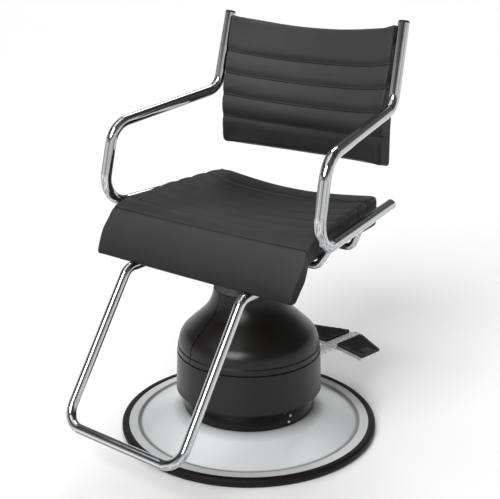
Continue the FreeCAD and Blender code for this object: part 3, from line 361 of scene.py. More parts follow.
SLOT_MATERIALS = {
    "rim_rubber": RIM_RUBBER,
    "polished_steel": PLATE,
    "cast_iron": CAST_IRON,
    "brass_bush": BRASS,
    "zinc_steel": ZINC,
    "cover_plastic": COVER,
    "chrome_tube": CHROME,
    "black_steel": BLACK_STEEL,
    "board": BOARD,
    "back_plastic": BACK_PLASTIC,
    "vinyl": SEAT_VINYL,
    "pedal_rubber": PEDAL_RUBBER,
    "cap_plastic": CAP_PLASTIC,
}

OWN_MATERIALS = {
    "cover_skirt": SHADED_SKIRT,
    "pedal_lever": CAST_CHROME,
    "backrest_pad": BACK_VINYL,
}

for part in frame["record"]["subparts"]:
    mesh = nodes[part["node"]].data
    mesh.materials.clear()
    mesh.materials.append(OWN_MATERIALS.get(part["node"], SLOT_MATERIALS[part["material_slot"]]))


# ---------------------------------------------------------------- mesh tools

def piece(name, verts, faces, slot, body, replaces=(), sharp=35.0, recalculate=True):
    """A mesh object with outward faces, smooth up to the sharp angle, riding on its body if given."""
    mesh = bpy.data.meshes.new(name)
    mesh.from_pydata([tuple(v) for v in verts], [], [tuple(f) for f in faces])
    if recalculate:
        shape = bmesh.new()
        shape.from_mesh(mesh)
        bmesh.ops.remove_doubles(shape, verts=shape.verts, dist=1e-7)
        bmesh.ops.recalc_face_normals(shape, faces=shape.faces)
        shape.to_mesh(mesh)
        shape.free()
    mesh.materials.append(SLOT_MATERIALS[slot])
    mesh.shade_smooth()
    mesh.set_sharp_from_angle(angle=math.radians(sharp))
    obj = bpy.data.objects.new(name, mesh)
    bpy.context.scene.collection.objects.link(obj)
    if body:
        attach(obj, body)
    if replaces:
        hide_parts(*replaces)
    return obj


def rounded(corners, closed=True, step=math.radians(8.0)):
    """Straight sides between (x, y) or (x, y, radius) corners, with the corners rounded."""
    points = []
    count = len(corners)
    for i, corner in enumerate(corners):
        at = np.array(corner[:2], float)
        if len(corner) < 3 or (not closed and i in (0, count - 1)):
            points.append(at)
            continue
        into = np.array(corners[i - 1][:2], float) - at
        out = np.array(corners[(i + 1) % count][:2], float) - at
        into /= np.linalg.norm(into)
        out /= np.linalg.norm(out)
        half = 0.5 * math.acos(float(np.clip(into @ out, -1.0, 1.0)))
        radius = corner[2]
        middle = at + (into + out) / np.linalg.norm(into + out) * radius / math.sin(half)
        first = at + into * radius / math.tan(half) - middle
        last = at + out * radius / math.tan(half) - middle
        sweep = math.pi - 2.0 * half
        steps = max(2, math.ceil(sweep / step))
        for k in range(steps + 1):
            f = k / steps
            spoke = math.sin((1.0 - f) * sweep) * first + math.sin(f * sweep) * last
            points.append(middle + spoke / math.sin(sweep))
    return np.array(points)


def lathe(name, section, slot, body, replaces=(), around=240, turn=(0.0, 2.0 * math.pi)):
    """A closed (radius, height) section swung about Z, all the way or between two angles."""
    count = len(section)
    whole = turn[1] - turn[0] > 2.0 * math.pi - 1e-6
    rings = around if whole else around + 1
    verts = []
    for i in range(rings):
        angle = turn[0] + (turn[1] - turn[0]) * i / around
        for r, z in section:
            verts.append((r * math.cos(angle), r * math.sin(angle), z))
    faces = []
    for i in range(around):
        j = (i + 1) % rings
        for k in range(count):
            n = (k + 1) % count
            faces.append((i * count + k, i * count + n, j * count + n, j * count + k))
    if not whole:
        faces.append(tuple(range(count)))
        faces.append(tuple((rings - 1) * count + k for k in range(count)))
    return piece(name, verts, faces, slot, body, replaces)


def sorted_stops(length, marks, gaps, step):
    """Distances from 0 to length: round steps, with extra stops close to each mark."""
    stops = {0.0, length}
    for mark in marks:
        stops.add(mark)
        for gap in gaps:
            stops.update((mark - gap, mark + gap))
    fixed = sorted(s for s in stops if 0.0 <= s <= length)
    out = []
    for low, high in zip(fixed, fixed[1:]):
        parts = max(1, math.ceil((high - low) / step - 0.15))
        out += [low + (high - low) * k / parts for k in range(parts)]
    return np.array(out + [length])


# ---------------------------------------------------------------- upholstery

class Slab:
    """A padded slab over a rounded plan: a show side, a backing side and the walls between.

    along is the distance from one end, across the distance from the middle, and height is counted
    from the backing side.
    """

    EDGE_TURNS = 6
    WALL_STEPS = 3
    SEAM_GAPS = (0.0012, 0.0045)    # extra rows this close to each seam

    def __init__(self, length, half_width, thickness, seams, corner, top_round, foot_round, step):
        self.length = length
        self.half_width = half_width
        self.thickness = thickness
        self.corner = corner
        self.top_round = top_round
        self.foot_round = foot_round
        self.seams = seams
        turns = np.linspace(0, math.pi / 2, self.EDGE_TURNS)
        edge = [top_round(0.0) * (1.0 - math.cos(a)) for a in turns]
        last = [top_round(length) * (1.0 - math.cos(a)) for a in turns]
        inner = sorted_stops(length - edge[-1] - last[-1], [s - edge[-1] for s in seams],
                             self.SEAM_GAPS, step)
        self.rows = np.concatenate([edge[:-1], inner + edge[-1], length - np.array(last[:-1])[::-1]])
        self.seam_rows = [int(np.argmin(abs(self.rows - s))) for s in seams]
        self.columns = max(8, round(2.0 * half_width(0.0) / step))

    def across(self, along):
        """Places across one row: close together where the edges turn."""
        w = self.half_width(along)
        r = self.top_round(along)
        turn = [w - r * (1.0 - math.cos(a)) for a in np.linspace(0, math.pi / 2, self.EDGE_TURNS)]
        flat = np.linspace(-turn[-1], turn[-1], self.columns)
        return np.concatenate([-np.array(turn[:-1]), flat, np.array(turn[:-1])[::-1]])

    def plan(self, along, across):
        """The point moved inside the rounded corners, and how far it lies from the outline."""
        near_end = along < self.length / 2
        radius = self.corner[0] if near_end else self.corner[1]
        w = self.half_width(along)
        end = along if near_end else self.length - along
        p = (radius - end) / radius
        q = (abs(across) - (w - radius)) / radius
        if p > 0.0 and q > 0.0:
            p, q = p * math.sqrt(1.0 - q * q / 2.0), q * math.sqrt(1.0 - p * p / 2.0)
            end = radius * (1.0 - p)
            side = math.copysign(w - radius + radius * q, across)
            return (end if near_end else self.length - end), side, radius * (1.0 - math.hypot(p, q))
        return along, across, min(end, w - abs(across))

    @staticmethod
    def fall(depth, radius):
        """How far an edge of that radius has dropped at a depth inside the outline."""
        if depth >= radius:
            return 0.0
        return radius - math.sqrt(max(0.0, radius * radius - (radius - depth) ** 2))

    def build(self, place, channel):
        """Vertices, faces, and which vertices are held still while the cover is inflated.

        place(along, across, height, thick) gives a point, and channel(along, across) how far the
        show side is sewn in there.
        """
        verts = []
        held = []
        show = {}
        back = {}
        count = len(self.rows)
        width = len(self.across(0.0))
        for side, grid in (("show", show), ("back", back)):
            for i, along in enumerate(self.rows):
                for j, across in enumerate(self.across(along)):
                    s, x, depth = self.plan(along, across)
                    thick = self.thickness(s)
                    if side == "show":
                        height = thick - self.fall(depth, min(self.top_round(s), thick * 0.6))
                        sunk = channel(s, x)
                        held.append(1.0 if i in self.seam_rows else 0.0)
                    else:
                        height = self.fall(depth, min(self.foot_round, thick * 0.3))
                        sunk = 0.0
                        held.append(1.0)
                    grid[i, j] = len(verts)
                    verts.append(place(s, x, height - sunk, thick))
        faces = []
        for i in range(count - 1):
            for j in range(width - 1):
                faces.append((show[i, j], show[i + 1, j], show[i + 1, j + 1], show[i, j + 1]))
                faces.append((back[i, j], back[i, j + 1], back[i + 1, j + 1], back[i + 1, j]))
        loop = [(i, 0) for i in range(count - 1)]
        loop += [(count - 1, j) for j in range(width - 1)]
        loop += [(i, width - 1) for i in range(count - 1, 0, -1)]
        loop += [(0, j) for j in range(width - 1, 0, -1)]
        wall = []
        for key in loop:
            i = key[0]
            column = [show[key]]
            high = np.array(verts[show[key]])
            low = np.array(verts[back[key]])
            for k in range(1, self.WALL_STEPS + 1):
                f = k / (self.WALL_STEPS + 1)
                column.append(len(verts))
                verts.append(tuple(high * (1.0 - f) + low * f))
                held.append(1.0 if i in self.seam_rows else 0.0)
            column.append(back[key])
            wall.append(column)
        for a, b in zip(wall, wall[1:] + wall[:1]):
            for k in range(self.WALL_STEPS + 1):
                faces.append((a[k], a[k + 1], b[k + 1], b[k]))
        self.show = show
        self.wall = dict(zip(loop, wall))
        return verts, faces, held


def inflate(obj, held, pressure, cap, frames=20):
    """Fills the cover like a cushion: cloth under pressure, held at its seams and its backing."""
    group = obj.vertex_groups.new(name="held")
    for i, weight in enumerate(held):
        if weight > 0.0:
            group.add([i], weight, "REPLACE")
    cloth = obj.modifiers.new("Cloth", "CLOTH")
    settings = cloth.settings
    settings.quality = 6
    settings.mass = 0.25
    settings.tension_stiffness = 12.0
    settings.compression_stiffness = 12.0
    settings.shear_stiffness = 4.0
    settings.bending_stiffness = 2.0
    settings.use_pressure = True
    settings.uniform_pressure_force = pressure
    settings.shrink_min = 0.004
    settings.vertex_group_mass = "held"
    settings.pin_stiffness = 1.0
    settings.effector_weights.gravity = 0.0
    cloth.collision_settings.use_collision = False
    cloth.point_cache.frame_start = 1
    cloth.point_cache.frame_end = frames
    scene = bpy.context.scene
    before = np.array([v.co for v in obj.data.vertices])
    for step in range(1, frames + 1):
        scene.frame_set(step)
    posed = obj.evaluated_get(bpy.context.evaluated_depsgraph_get())
    after = np.array([v.co for v in posed.data.vertices])
    obj.modifiers.remove(cloth)
    obj.vertex_groups.clear()
    scene.frame_set(1)
    move = after - before
    size = np.linalg.norm(move, axis=1, keepdims=True)
    move *= np.minimum(1.0, cap / np.maximum(size, 1e-9))
    obj.data.vertices.foreach_set("co", (before + move).ravel())
    obj.data.update()
    print(obj.name, "moved up to %.1f mm, mean %.1f mm" % (1000 * size.max(), 1000 * size.mean()))


WALL_SEAM_DEPTH = 0.002         # a seam is at least this deep where it runs down a side


def sink_seams(obj, slab, depths, seam_shades):
    """Pulls each seam row in along the surface, so the panels meet in a sewn line, and marks it with
    the painted shade the line gets.
    """
    mesh = obj.data
    moves = {}
    width = len(slab.across(0.0))
    mark = mesh.attributes.new("seam", "FLOAT", "POINT").data
    for i, depth, dark in zip(slab.seam_rows, depths, seam_shades):
        for j in range(width):
            moves[slab.show[i, j]] = (depth, dark)
        for j in (0, width - 1):
            for v in slab.wall.get((i, j), [])[1:-1]:
                moves[v] = (max(depth, WALL_SEAM_DEPTH), dark)
    sunk = {v: mesh.vertices[v].normal * depth for v, (depth, dark) in moves.items()}
    for v, (depth, dark) in moves.items():
        mark[v].value = dark
        mesh.vertices[v].co -= sunk[v]
    mesh.update()


def soften(obj):
    """Rounds the cover's faces by one level of subdivision."""
    subdivide = obj.modifiers.new("Smooth", "SUBSURF")
    subdivide.levels = 1
    subdivide.render_levels = 1


def channelled(marks, length, depth, sharpness=3.0):
    """Depth of the sewn channels: most at each mark, nothing midway to the next or at the ends."""
    stops = [0.0] + list(marks) + [length]

    def sunk(along):
        for low, high in zip(stops, stops[1:]):
            if low <= along <= high:
                f = 2.0 * (along - low) / (high - low) - 1.0
                open_end = (low == 0.0 and f < 0.0) or (high == length and f > 0.0)
                return 0.0 if open_end else depth * abs(f) ** sharpness
        return 0.0
    return sunk


# the seat cushion: flat from the back to the knees, then rolled over the front

SEAT_LOW, SEAT_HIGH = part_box("seat_cushion")
SEAT_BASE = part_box("seat_pan")[1].z
SEAT_ROLL = 0.050               # radius of the roll over the front
SEAT_ROLL_SET = 0.063           # its corner, back from the front
SEAT_ROLL_DROP = 0.018          # and down from the top
SEAT_UNDER_ROLL = 0.030         # the same on the underside
SEAT_UNDER_SET = 0.068
SEAT_TURN_LEAD = 0.033          # the top starts to turn this far before the corner
SEAT_TURN_RUN = 0.061           # and has turned after this run
SEAT_UNDER_LEAD = 0.014
SEAT_UNDER_LAG = 0.012
SEAT_LIP_THICK = 0.019          # at its foot
SEAT_LIP_RUN = 0.030            # from the roll's end to the lip's widest place
SEAT_REAR_HALF = 0.2295         # half widths from the back to the lip's foot
SEAT_KNEE_HALF = 0.2705
SEAT_ROLL_HALF = 0.2785
SEAT_LIP_HALF = 0.2825
SEAT_FOOT_HALF = 0.2785
SEAT_FOOT_DROP = 0.005          # the lip ends this far below the CAD's cushion
SEAT_SEAMS = (0.122, 0.075, 0.028, -0.019, -0.066, -0.113)      # their places along Y
SEAT_FRONT_SEAM = 0.037         # one more, this far past the start of the turn
SEAT_SEAM_DEPTHS = [0.0014] * 5 + [0.0024, 0.0050]
# painted shade along each seam, from none at 0 to darkest at 1
SEAT_SEAM_SHADES = [0.22] * 5 + [0.40, 1.0]
SEAT_CORNERS = (0.030, 0.011)   # radii of the outline's corners, at the back and at the foot
SEAT_EDGES = (0.011, 0.010, 0.008, 0.009)       # radii of the top's edge from back to foot
SEAT_FOOT_ROUND = 0.006         # radius of the edge underneath
SEAT_CHANNEL = 0.0013
SEAT_SIDE_SHARE = 0.86          # past this share of the half width the channels deepen
SEAT_SIDE_DEEPER = 1.6          # by this factor more at the very side
SEAT_ROLL_SHALLOWER = 0.3       # and over the roll they are shallower
SEAT_SIDE_RISE = 0.0165         # the dished top: up at the sides, down in the middle
SEAT_MIDDLE_SINK = 0.009
SEAT_BELLY = 0.0045             # swell of the lip's face
MESH_STEP = 0.0085              # both cushions' grid


def seat_profiles():
    """The cushion's top and underside seen from the side, as matching runs of (y, z) points."""
    back, top, foot = SEAT_HIGH.y, SEAT_HIGH.z, SEAT_LOW.z - SEAT_FOOT_DROP
    front = SEAT_LOW.y
    step = math.radians(4)
    corner = (front + SEAT_ROLL_SET, top - SEAT_ROLL_DROP, SEAT_ROLL)
    under = (front + SEAT_UNDER_SET, SEAT_BASE, SEAT_UNDER_ROLL)
    upper = rounded([(back, top), corner, (front, foot)], closed=False, step=step)
    lower_foot = (front + SEAT_LIP_THICK, foot)
    lower = rounded([(back, SEAT_BASE), under, lower_foot], closed=False, step=step)
    return upper, lower


class Rail:
    """A line that can be read at any distance along it."""

    def __init__(self, points):
        self.points = points
        steps = np.linalg.norm(np.diff(points, axis=0), axis=1)
        self.run = np.concatenate([[0.0], np.cumsum(steps)])
        self.length = self.run[-1]

    def at(self, distance):
        return np.array([np.interp(distance, self.run, side) for side in self.points.T])


def make_seat_cushion():
    upper, lower = (Rail(p) for p in seat_profiles())
    length = upper.length
    rear_run = SEAT_HIGH.y - (SEAT_LOW.y + SEAT_ROLL_SET)
    turn_start = rear_run - SEAT_TURN_LEAD
    turn_end = turn_start + SEAT_TURN_RUN
    lower_turn = SEAT_HIGH.y - (SEAT_LOW.y + SEAT_UNDER_SET)
    knots_upper = (0.0, turn_start, turn_end, length)
    knots_lower = (0.0, lower_turn - SEAT_UNDER_LEAD, lower_turn + SEAT_UNDER_LAG, lower.length)
    width_stops = (0.0, turn_start, turn_end, turn_end + SEAT_LIP_RUN, length)
    widths = (SEAT_REAR_HALF, SEAT_KNEE_HALF, SEAT_ROLL_HALF, SEAT_LIP_HALF, SEAT_FOOT_HALF)
    flat_stops = (0.0, turn_start - 0.13, turn_start - 0.01, turn_end)

    def half_width(s):
        return float(np.interp(s, width_stops, widths))

    def edge_round(s):
        return float(np.interp(s, (0, turn_start, turn_end, length), SEAT_EDGES))

    def thickness(s):
        return float(np.linalg.norm(upper.at(s) - lower.at(np.interp(s, knots_upper, knots_lower))))

    marks = [SEAT_HIGH.y - y for y in SEAT_SEAMS] + [turn_start + SEAT_FRONT_SEAM]
    slab = Slab(length, half_width, thickness, marks, SEAT_CORNERS, edge_round, SEAT_FOOT_ROUND,
                MESH_STEP)
    sunk = channelled(marks, length, SEAT_CHANNEL)

    def channel(s, x):
        """Deeper towards the sides of the top, and shallow over the roll."""
        side = max(0.0, abs(x) / half_width(s) - SEAT_SIDE_SHARE) / (1.0 - SEAT_SIDE_SHARE)
        if s >= turn_start:
            return sunk(s) * SEAT_ROLL_SHALLOWER
        return sunk(s) * (1.0 + SEAT_SIDE_DEEPER * side * side)

    def place(s, x, height, thick):
        low = lower.at(np.interp(s, knots_upper, knots_lower))
        high = upper.at(s)
        share = height / thick
        w = half_width(s)
        edge = abs(x) / w
        flat = float(np.interp(s, flat_stops, (1.0, 1.0, 0.35, 0.0)))
        rear = float(np.interp(s, (0.0, 0.06), (0.55, 1.0)))
        dish = flat * (SEAT_SIDE_RISE * rear * edge ** 3 - SEAT_MIDDLE_SINK * (1.0 - edge ** 2))
        along_lip = min(1.0, max(0.0, (s - turn_end) / (length - turn_end)))
        belly = SEAT_BELLY * math.sin(math.pi * along_lip)
        point = low + (high - low) * share * (1.0 + belly / thick)
        return (x, point[0], point[1] + dish * share)

    verts, faces, held = slab.build(place, channel)
    obj = piece("seat_upholstery", verts, faces, "vinyl", "seat", ("seat_cushion",), sharp=180.0,
                recalculate=False)
    inflate(obj, held, pressure=1.2, cap=0.003)
    sink_seams(obj, slab, SEAT_SEAM_DEPTHS, SEAT_SEAM_SHADES)
    soften(obj)


# the backrest pad: a curved panel that leans back

BACK_ORIGIN = (0.170, 0.640)    # Y and Z of the foot of the leaning frame it is drawn in
BACK_LEAN = math.radians(12.0)
BACK_FRONT_RADIUS = 0.469       # the curve across its front
BACK_AXIS = -0.425              # that curve's axis, forward of the frame
BACK_THICK = 0.042
BACK_HEIGHT = 0.311
BACK_HALF_WIDTH = 0.2305
BACK_WAIST = 0.112              # below this height it curves away from the sitter
BACK_WAIST_BLEND = 0.042        # and the bend is spread this far up and down
BACK_FOOT_SET = 0.024           # by this much at its foot
BACK_SAG = 0.011                # how far the seams and the top edge dip in the middle
# heights, and the share of the dip at each
BACK_SAG_STOPS = ((0.0, 0.070, 0.224, BACK_HEIGHT), (0.0, 0.6, 0.8, 1.0))
BACK_SEAMS = (0.066, 0.118, 0.171, 0.224)
BACK_SEAM_DEPTHS = [0.0028] * 4
# painted shade along each seam, from none at 0 to darkest at 1
BACK_SEAM_SHADES = [1.0] * 4
BACK_CORNERS = (0.011, 0.007)
BACK_EDGE = 0.008
BACK_FOOT_ROUND = 0.004
BACK_CHANNEL = 0.0052


def back_set(height):
    """How far the pad's lower part curves away from the sitter."""
    slope = BACK_FOOT_SET / BACK_WAIST
    blend = BACK_WAIST_BLEND
    if height >= BACK_WAIST + blend:
        return 0.0
    if height <= BACK_WAIST - blend:
        return (BACK_WAIST - height) * slope
    return slope * (BACK_WAIST + blend - height) ** 2 / (4.0 * blend)


def back_point(height, across, radius):
    """A point on the cylinder of that radius about the backrest's own upright axis."""
    reach = BACK_AXIS + math.sqrt(radius * radius - across * across)
    y = BACK_ORIGIN[0] + reach * math.cos(BACK_LEAN) + height * math.sin(BACK_LEAN)
    z = BACK_ORIGIN[1] - reach * math.sin(BACK_LEAN) + height * math.cos(BACK_LEAN)
    return (across, y, z)


def make_backrest_pad():
    rear = BACK_FRONT_RADIUS + BACK_THICK
    slab = Slab(BACK_HEIGHT, lambda s: BACK_HALF_WIDTH, lambda s: BACK_THICK, BACK_SEAMS,
                BACK_CORNERS, lambda s: BACK_EDGE, BACK_FOOT_ROUND, MESH_STEP)
    sunk = channelled(BACK_SEAMS, BACK_HEIGHT, BACK_CHANNEL, sharpness=4.2)

    def place(s, x, height, thick):
        edge = abs(x) / BACK_HALF_WIDTH
        drop = BACK_SAG * float(np.interp(s, *BACK_SAG_STOPS)) * (1.0 - edge ** 3)
        point = back_point(s, x, rear + back_set(s) - height)
        return (point[0], point[1], point[2] - drop)

    verts, faces, held = slab.build(place, lambda s, x: sunk(s))
    obj = piece("backrest_upholstery", verts, faces, "vinyl", "seat", ("backrest_pad",), sharp=180.0,
                recalculate=False)
    inflate(obj, held, pressure=1.8, cap=0.004)
    sink_seams(obj, slab, BACK_SEAM_DEPTHS, BACK_SEAM_SHADES)
    obj.data.materials[0] = BACK_VINYL
    soften(obj)


make_seat_cushion()
make_backrest_pad()


# ---------------------------------------------------------------- base

def make_rim():
    """Rubber moulding round the plate, with a soft shoulder and a parting groove."""
    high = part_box("base_rim")[1]
    r, top = high.x, high.z
    section = rounded([
        (r - 0.026, 0.0),
        (r - 0.004, 0.0, 0.002),
        (r - 0.0035, 0.0045, 0.001),
        (r - 0.0015, 0.0055, 0.001),
        (r, 0.008, 0.003),
        (r, top - 0.004, 0.004),
        (r - 0.005, top, 0.004),
        (r - 0.0145, top, 0.0015),
        (r - 0.017, top - 0.002),
        (r - 0.017, top - 0.005),
        (r - 0.026, top - 0.005),
    ])
    lathe("base_rim_moulding", section, "rim_rubber", "base", ("base_rim",), around=320)


make_rim()


COVER_SPLIT = math.radians(75.0)
COVER_GAP = 0.0008              # half the open joint, at the neck
COVER_WALL = 0.003
COVER_NECK = 0.082
BELL_LIP = 0.199                # the bell's lip hangs down to here


def make_bells():
    """The two halves of the cover's bell, with a soft lip and an open joint line between them."""
    low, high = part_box("cover_bell_left")
    top = high.z
    section = rounded([
        (0.1655, BELL_LIP),
        (0.1685, BELL_LIP, 0.0008),
        (0.1685, 0.212, 0.0012),
        (0.1660, 0.2138, 0.0012),
        (0.1660, 0.239, 0.048),
        (0.0876, 0.3123, 0.095),
        (COVER_NECK, top, 0.0012),
        (COVER_NECK - COVER_WALL, top, 0.0008),
        (0.0847, 0.3109, 0.098),
        (0.1630, 0.2378, 0.045),
        (0.1630, low.z),
        (0.1655, low.z),
    ], step=math.radians(4))
    gap = COVER_GAP / COVER_NECK
    for start in (COVER_SPLIT, COVER_SPLIT + math.pi):
        middle = start + math.pi / 2
        name = "cover_bell_left" if math.cos(middle) < 0.0 else "cover_bell_right"
        lathe(name + "_shell", section, "cover_plastic", "base", (name,), around=150,
              turn=(start + gap, start + math.pi - gap))


make_bells()


# ---------------------------------------------------------------- pedal pads

PEDAL_AIM = math.radians(82.0)
PAD_NAMES = ("pedal_pad_left", "pedal_pad_right")
PAD_LOW = min(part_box(name)[0].z for name in PAD_NAMES)
PAD_HIGH = max(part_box(name)[1].z for name in PAD_NAMES)
PAD_ROOT = 0.018                # nearest to the lever
PAD_TIP = 0.1165
PAD_OUTLINE = ((0.2975, PAD_ROOT), (0.2835, PAD_TIP), (0.3525, PAD_TIP), (0.3965, PAD_ROOT))
PAD_CORNER = 0.005
PAD_MARGIN = 0.0030             # kept free of studs
STUD_PITCH = 0.0082
STUD_HALF = 0.0028
STUD_RISE = 0.0026
STUD_FIRST = np.array((0.280, PAD_ROOT + 0.0065))
STUD_COUNTS = (20, 16)          # enough to cover the pad; those outside it are left out
BADGE = np.array((0.3255, PAD_TIP - 0.018))
BADGE_HALF = 0.0105
BADGE_CLEAR = 0.0006            # room between the badge and the studs
ROOTED = 0.0006                 # how far a stud's foot is let into the pad


def inset(loop, distance):
    """A convex loop of (x, y) points moved inward."""
    count = len(loop)
    middle = loop.mean(axis=0)
    out = []
    for i in range(count):
        into = loop[i] - loop[i - 1]
        leave = loop[(i + 1) % count] - loop[i]
        normals = [np.array((-d[1], d[0])) / max(np.linalg.norm(d), 1e-9) for d in (into, leave)]
        normal = normals[0] + normals[1]
        normal /= np.linalg.norm(normal)
        if normal @ (middle - loop[i]) < 0.0:
            normal = -normal
        share = max(0.5, abs(normal @ normals[0]))
        out.append(loop[i] + normal * distance / share)
    return np.array(out)


def inside(loop, point):
    """True if the point lies in the convex loop."""
    turns = []
    for a, b in zip(loop, np.roll(loop, -1, axis=0)):
        turns.append((b[0] - a[0]) * (point[1] - a[1]) - (b[1] - a[1]) * (point[0] - a[0]))
    return min(turns) > 0.0 or max(turns) < 0.0


def add_stack(verts, faces, levels):
    """A closed solid from loops of equal length, one above the other: [(loop, height), ...]."""
    start = len(verts)
    count = len(levels[0][0])
    for loop, height in levels:
        verts += [(x, y, height) for x, y in loop]
    for k in range(len(levels) - 1):
        for i in range(count):
            j = (i + 1) % count
            low, high = start + k * count, start + (k + 1) * count
            faces.append((low + i, low + j, high + j, high + i))
    faces.append(tuple(start + i for i in reversed(range(count))))
    faces.append(tuple(start + (len(levels) - 1) * count + i for i in range(count)))


def square(middle, half):
    corners = np.array(((-1, -1), (1, -1), (1, 1), (-1, 1)))
    return middle + corners * half


def stud_middles():
    """Where the studs stand: a square grid inside the pad's margin, clear of the badge."""
    field = inset(np.array(PAD_OUTLINE), PAD_MARGIN)
    for i in range(STUD_COUNTS[0]):
        for j in range(STUD_COUNTS[1]):
            middle = STUD_FIRST + np.array((i, j)) * STUD_PITCH
            if not all(inside(field, corner) for corner in square(middle, STUD_HALF)):
                continue
            if max(abs(middle - BADGE)) >= BADGE_HALF + STUD_HALF + BADGE_CLEAR:
                yield middle


def make_pedal_pad(name, side):
    """Rubber pad with square studs and a plain square near its tip."""
    base = PAD_HIGH - STUD_RISE
    outline = rounded([(*corner, PAD_CORNER) for corner in PAD_OUTLINE], step=math.radians(15))
    verts, faces = [], []
    add_stack(verts, faces, [
        (inset(outline, 0.0008), PAD_LOW),
        (outline, PAD_LOW + 0.0008),
        (outline, base - 0.0012),
        (inset(outline, 0.0004), base - 0.0004),
        (inset(outline, 0.0013), base),
    ])
    for middle in stud_middles():
        add_stack(verts, faces, [
            (square(middle, STUD_HALF), base - ROOTED),
            (square(middle, STUD_HALF), base),
            (square(middle, STUD_HALF - 0.0005), PAD_HIGH - 0.0003),
            (square(middle, STUD_HALF - 0.0009), PAD_HIGH),
        ])
    add_stack(verts, faces, [
        (square(BADGE, BADGE_HALF), base - ROOTED),
        (square(BADGE, BADGE_HALF), base + 0.0006),
        (square(BADGE, BADGE_HALF - 0.0007), base + 0.0013),
    ])
    placed = []
    for reach, across, z in verts:
        placed.append((reach * math.cos(PEDAL_AIM) - side * across * math.sin(PEDAL_AIM),
                       reach * math.sin(PEDAL_AIM) + side * across * math.cos(PEDAL_AIM), z))
    piece(name + "_studded", placed, faces, "pedal_rubber", "pedal", (name,), sharp=28.0)


def make_pedal_pads():
    for name in PAD_NAMES:
        low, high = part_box(name)
        middle = (low + high) / 2
        side = math.copysign(1.0, middle.y * math.cos(PEDAL_AIM) - middle.x * math.sin(PEDAL_AIM))
        make_pedal_pad(name, side)


make_pedal_pads()


# ---------------------------------------------------------------- return spring

SPRING_WIRE = 0.0015            # its radius
SPRING_TURNS = 3
SPRING_STEPS = 28               # for each turn
WIRE_SIDES = 10


def make_return_spring():
    """Coil spring round the plunger, built at one length that stays; the real one shortens as the
    plunger goes down.
    """
    low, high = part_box("return_spring")
    middle = (low + high) / 2
    radius = (high.x - low.x) / 2 - SPRING_WIRE
    rings = SPRING_TURNS * SPRING_STEPS + 1
    climb = (high.z - low.z - 2 * SPRING_WIRE) / (rings - 1)
    verts = []
    for i in range(rings):
        angle = 2.0 * math.pi * i / SPRING_STEPS
        out = Vector((math.cos(angle), math.sin(angle), 0.0))
        centre = Vector((middle.x, middle.y, low.z + SPRING_WIRE + climb * i)) + out * radius
        for k in range(WIRE_SIDES):
            turn = 2.0 * math.pi * k / WIRE_SIDES
            spoke = out * math.cos(turn) + Vector((0.0, 0.0, math.sin(turn)))
            verts.append(centre + spoke * SPRING_WIRE)
    faces = []
    for i in range(rings - 1):
        for k in range(WIRE_SIDES):
            n = (k + 1) % WIRE_SIDES
            a, b = i * WIRE_SIDES, (i + 1) * WIRE_SIDES
            faces.append((a + k, a + n, b + n, b + k))
    faces.append(tuple(range(WIRE_SIDES)))
    faces.append(tuple((rings - 1) * WIRE_SIDES + k for k in range(WIRE_SIDES)))
    coil = piece("return_spring_coil", verts, faces, "zinc_steel", None, ("return_spring",))
    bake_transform(coil)


make_return_spring()


# ---------------------------------------------------------------- studio

FLOOR_HALF = 30.0
FLOOR_DROP = 0.0006             # just below the base, so that no faces coincide
HORIZON_GLOW = 8.0              # degrees up to which the horizon is at its palest
HORIZON_FADE = 20.0             # and by which it has faded into the room
HORIZON_LIGHT = 0.9
ROOM_LIGHT = 0.15
CAMERA_AZIMUTH = math.radians(38.2)
CAMERA_PITCH = math.radians(17.8)
CAMERA_DISTANCE = 2.145         # from the column, along the floor
CAMERA_HEIGHT = 1.13
CAMERA_LENS = 70.4              # mm, on a sensor 36 mm wide
CAMERA_SHIFT = 0.0024


def make_floor():
    mesh = bpy.data.meshes.new("studio_floor")
    corners = [(x, y, 0.0) for x, y in square(np.zeros(2), FLOOR_HALF)]
    mesh.from_pydata(corners, [], [(0, 1, 2, 3)])
    surface = Surface("studio_floor", (0.86, 0.86, 0.86), 0.55)
    mesh.materials.append(surface.material)
    floor = bpy.data.objects.new("studio_floor", mesh)
    bpy.context.scene.collection.objects.link(floor)
    floor.location.z = -FLOOR_DROP


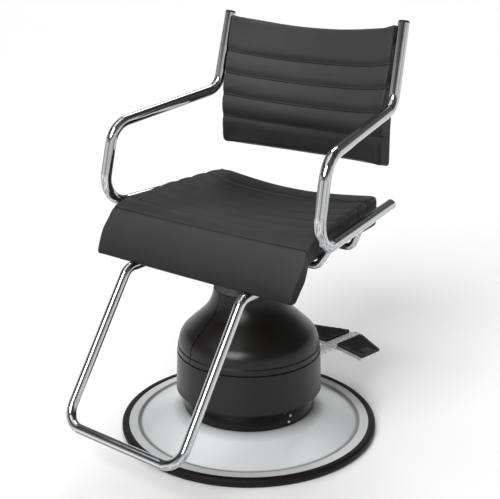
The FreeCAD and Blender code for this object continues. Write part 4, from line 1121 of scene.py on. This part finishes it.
def make_world():
    """A dim room with a pale horizon, so polished metal has something dark to show."""
    world = bpy.data.worlds.new("studio")
    bpy.context.scene.world = world
    world.use_nodes = True
    tree = world.node_tree
    place = tree.nodes.new("ShaderNodeTexCoord")
    split = tree.nodes.new("ShaderNodeSeparateXYZ")
    tree.links.new(place.outputs["Generated"], split.inputs["Vector"])
    height = tree.nodes.new("ShaderNodeMapRange")
    height.interpolation_type = "SMOOTHSTEP"
    height.inputs["From Min"].default_value = math.sin(math.radians(HORIZON_GLOW))
    height.inputs["From Max"].default_value = math.sin(math.radians(HORIZON_FADE))
    tree.links.new(split.outputs["Z"], height.inputs["Value"])
    ramp = tree.nodes.new("ShaderNodeValToRGB")
    ramp.color_ramp.elements[0].color = (HORIZON_LIGHT, HORIZON_LIGHT, HORIZON_LIGHT, 1.0)
    ramp.color_ramp.elements[1].color = (ROOM_LIGHT, ROOM_LIGHT, ROOM_LIGHT, 1.0)
    tree.links.new(height.outputs["Result"], ramp.inputs["Fac"])
    tree.links.new(ramp.outputs["Color"], tree.nodes["Background"].inputs["Color"])


def broad_light(name, azimuth, elevation, spread, strength):
    """A far, wide light from a compass angle (0 is the sitter's front, 90 their left)."""
    light = bpy.data.lights.new(name, "SUN")
    light.angle = math.radians(spread)
    light.energy = strength
    lamp = bpy.data.objects.new(name, light)
    bpy.context.scene.collection.objects.link(lamp)
    turn = math.radians(azimuth)
    rise = math.radians(elevation)
    along = math.cos(rise)
    source = Vector((math.sin(turn) * along, -math.cos(turn) * along, math.sin(rise)))
    lamp.rotation_euler = source.to_track_quat("Z", "Y").to_euler()


def make_camera():
    """At the photographed view: seen from the sitter's left front, looking slightly down."""
    camera = bpy.data.cameras.new("camera")
    camera.sensor_width = 36.0
    camera.lens = CAMERA_LENS
    camera.shift_x = CAMERA_SHIFT
    obj = bpy.data.objects.new("camera", camera)
    bpy.context.scene.collection.objects.link(obj)
    x = CAMERA_DISTANCE * math.sin(CAMERA_AZIMUTH)
    y = -CAMERA_DISTANCE * math.cos(CAMERA_AZIMUTH)
    obj.location = (x, y, CAMERA_HEIGHT)
    obj.rotation_euler = (math.pi / 2 - CAMERA_PITCH, 0.0, CAMERA_AZIMUTH)
    bpy.context.scene.camera = obj


bpy.context.scene.view_settings.view_transform = "Standard"
make_floor()
make_world()
make_camera()
broad_light("key", azimuth=10.0, elevation=40.0, spread=34.0, strength=2.9)
broad_light("top", azimuth=300.0, elevation=72.0, spread=50.0, strength=0.7)
broad_light("back", azimuth=215.0, elevation=54.0, spread=26.0, strength=0.9)

bpy.context.view_layer.update()
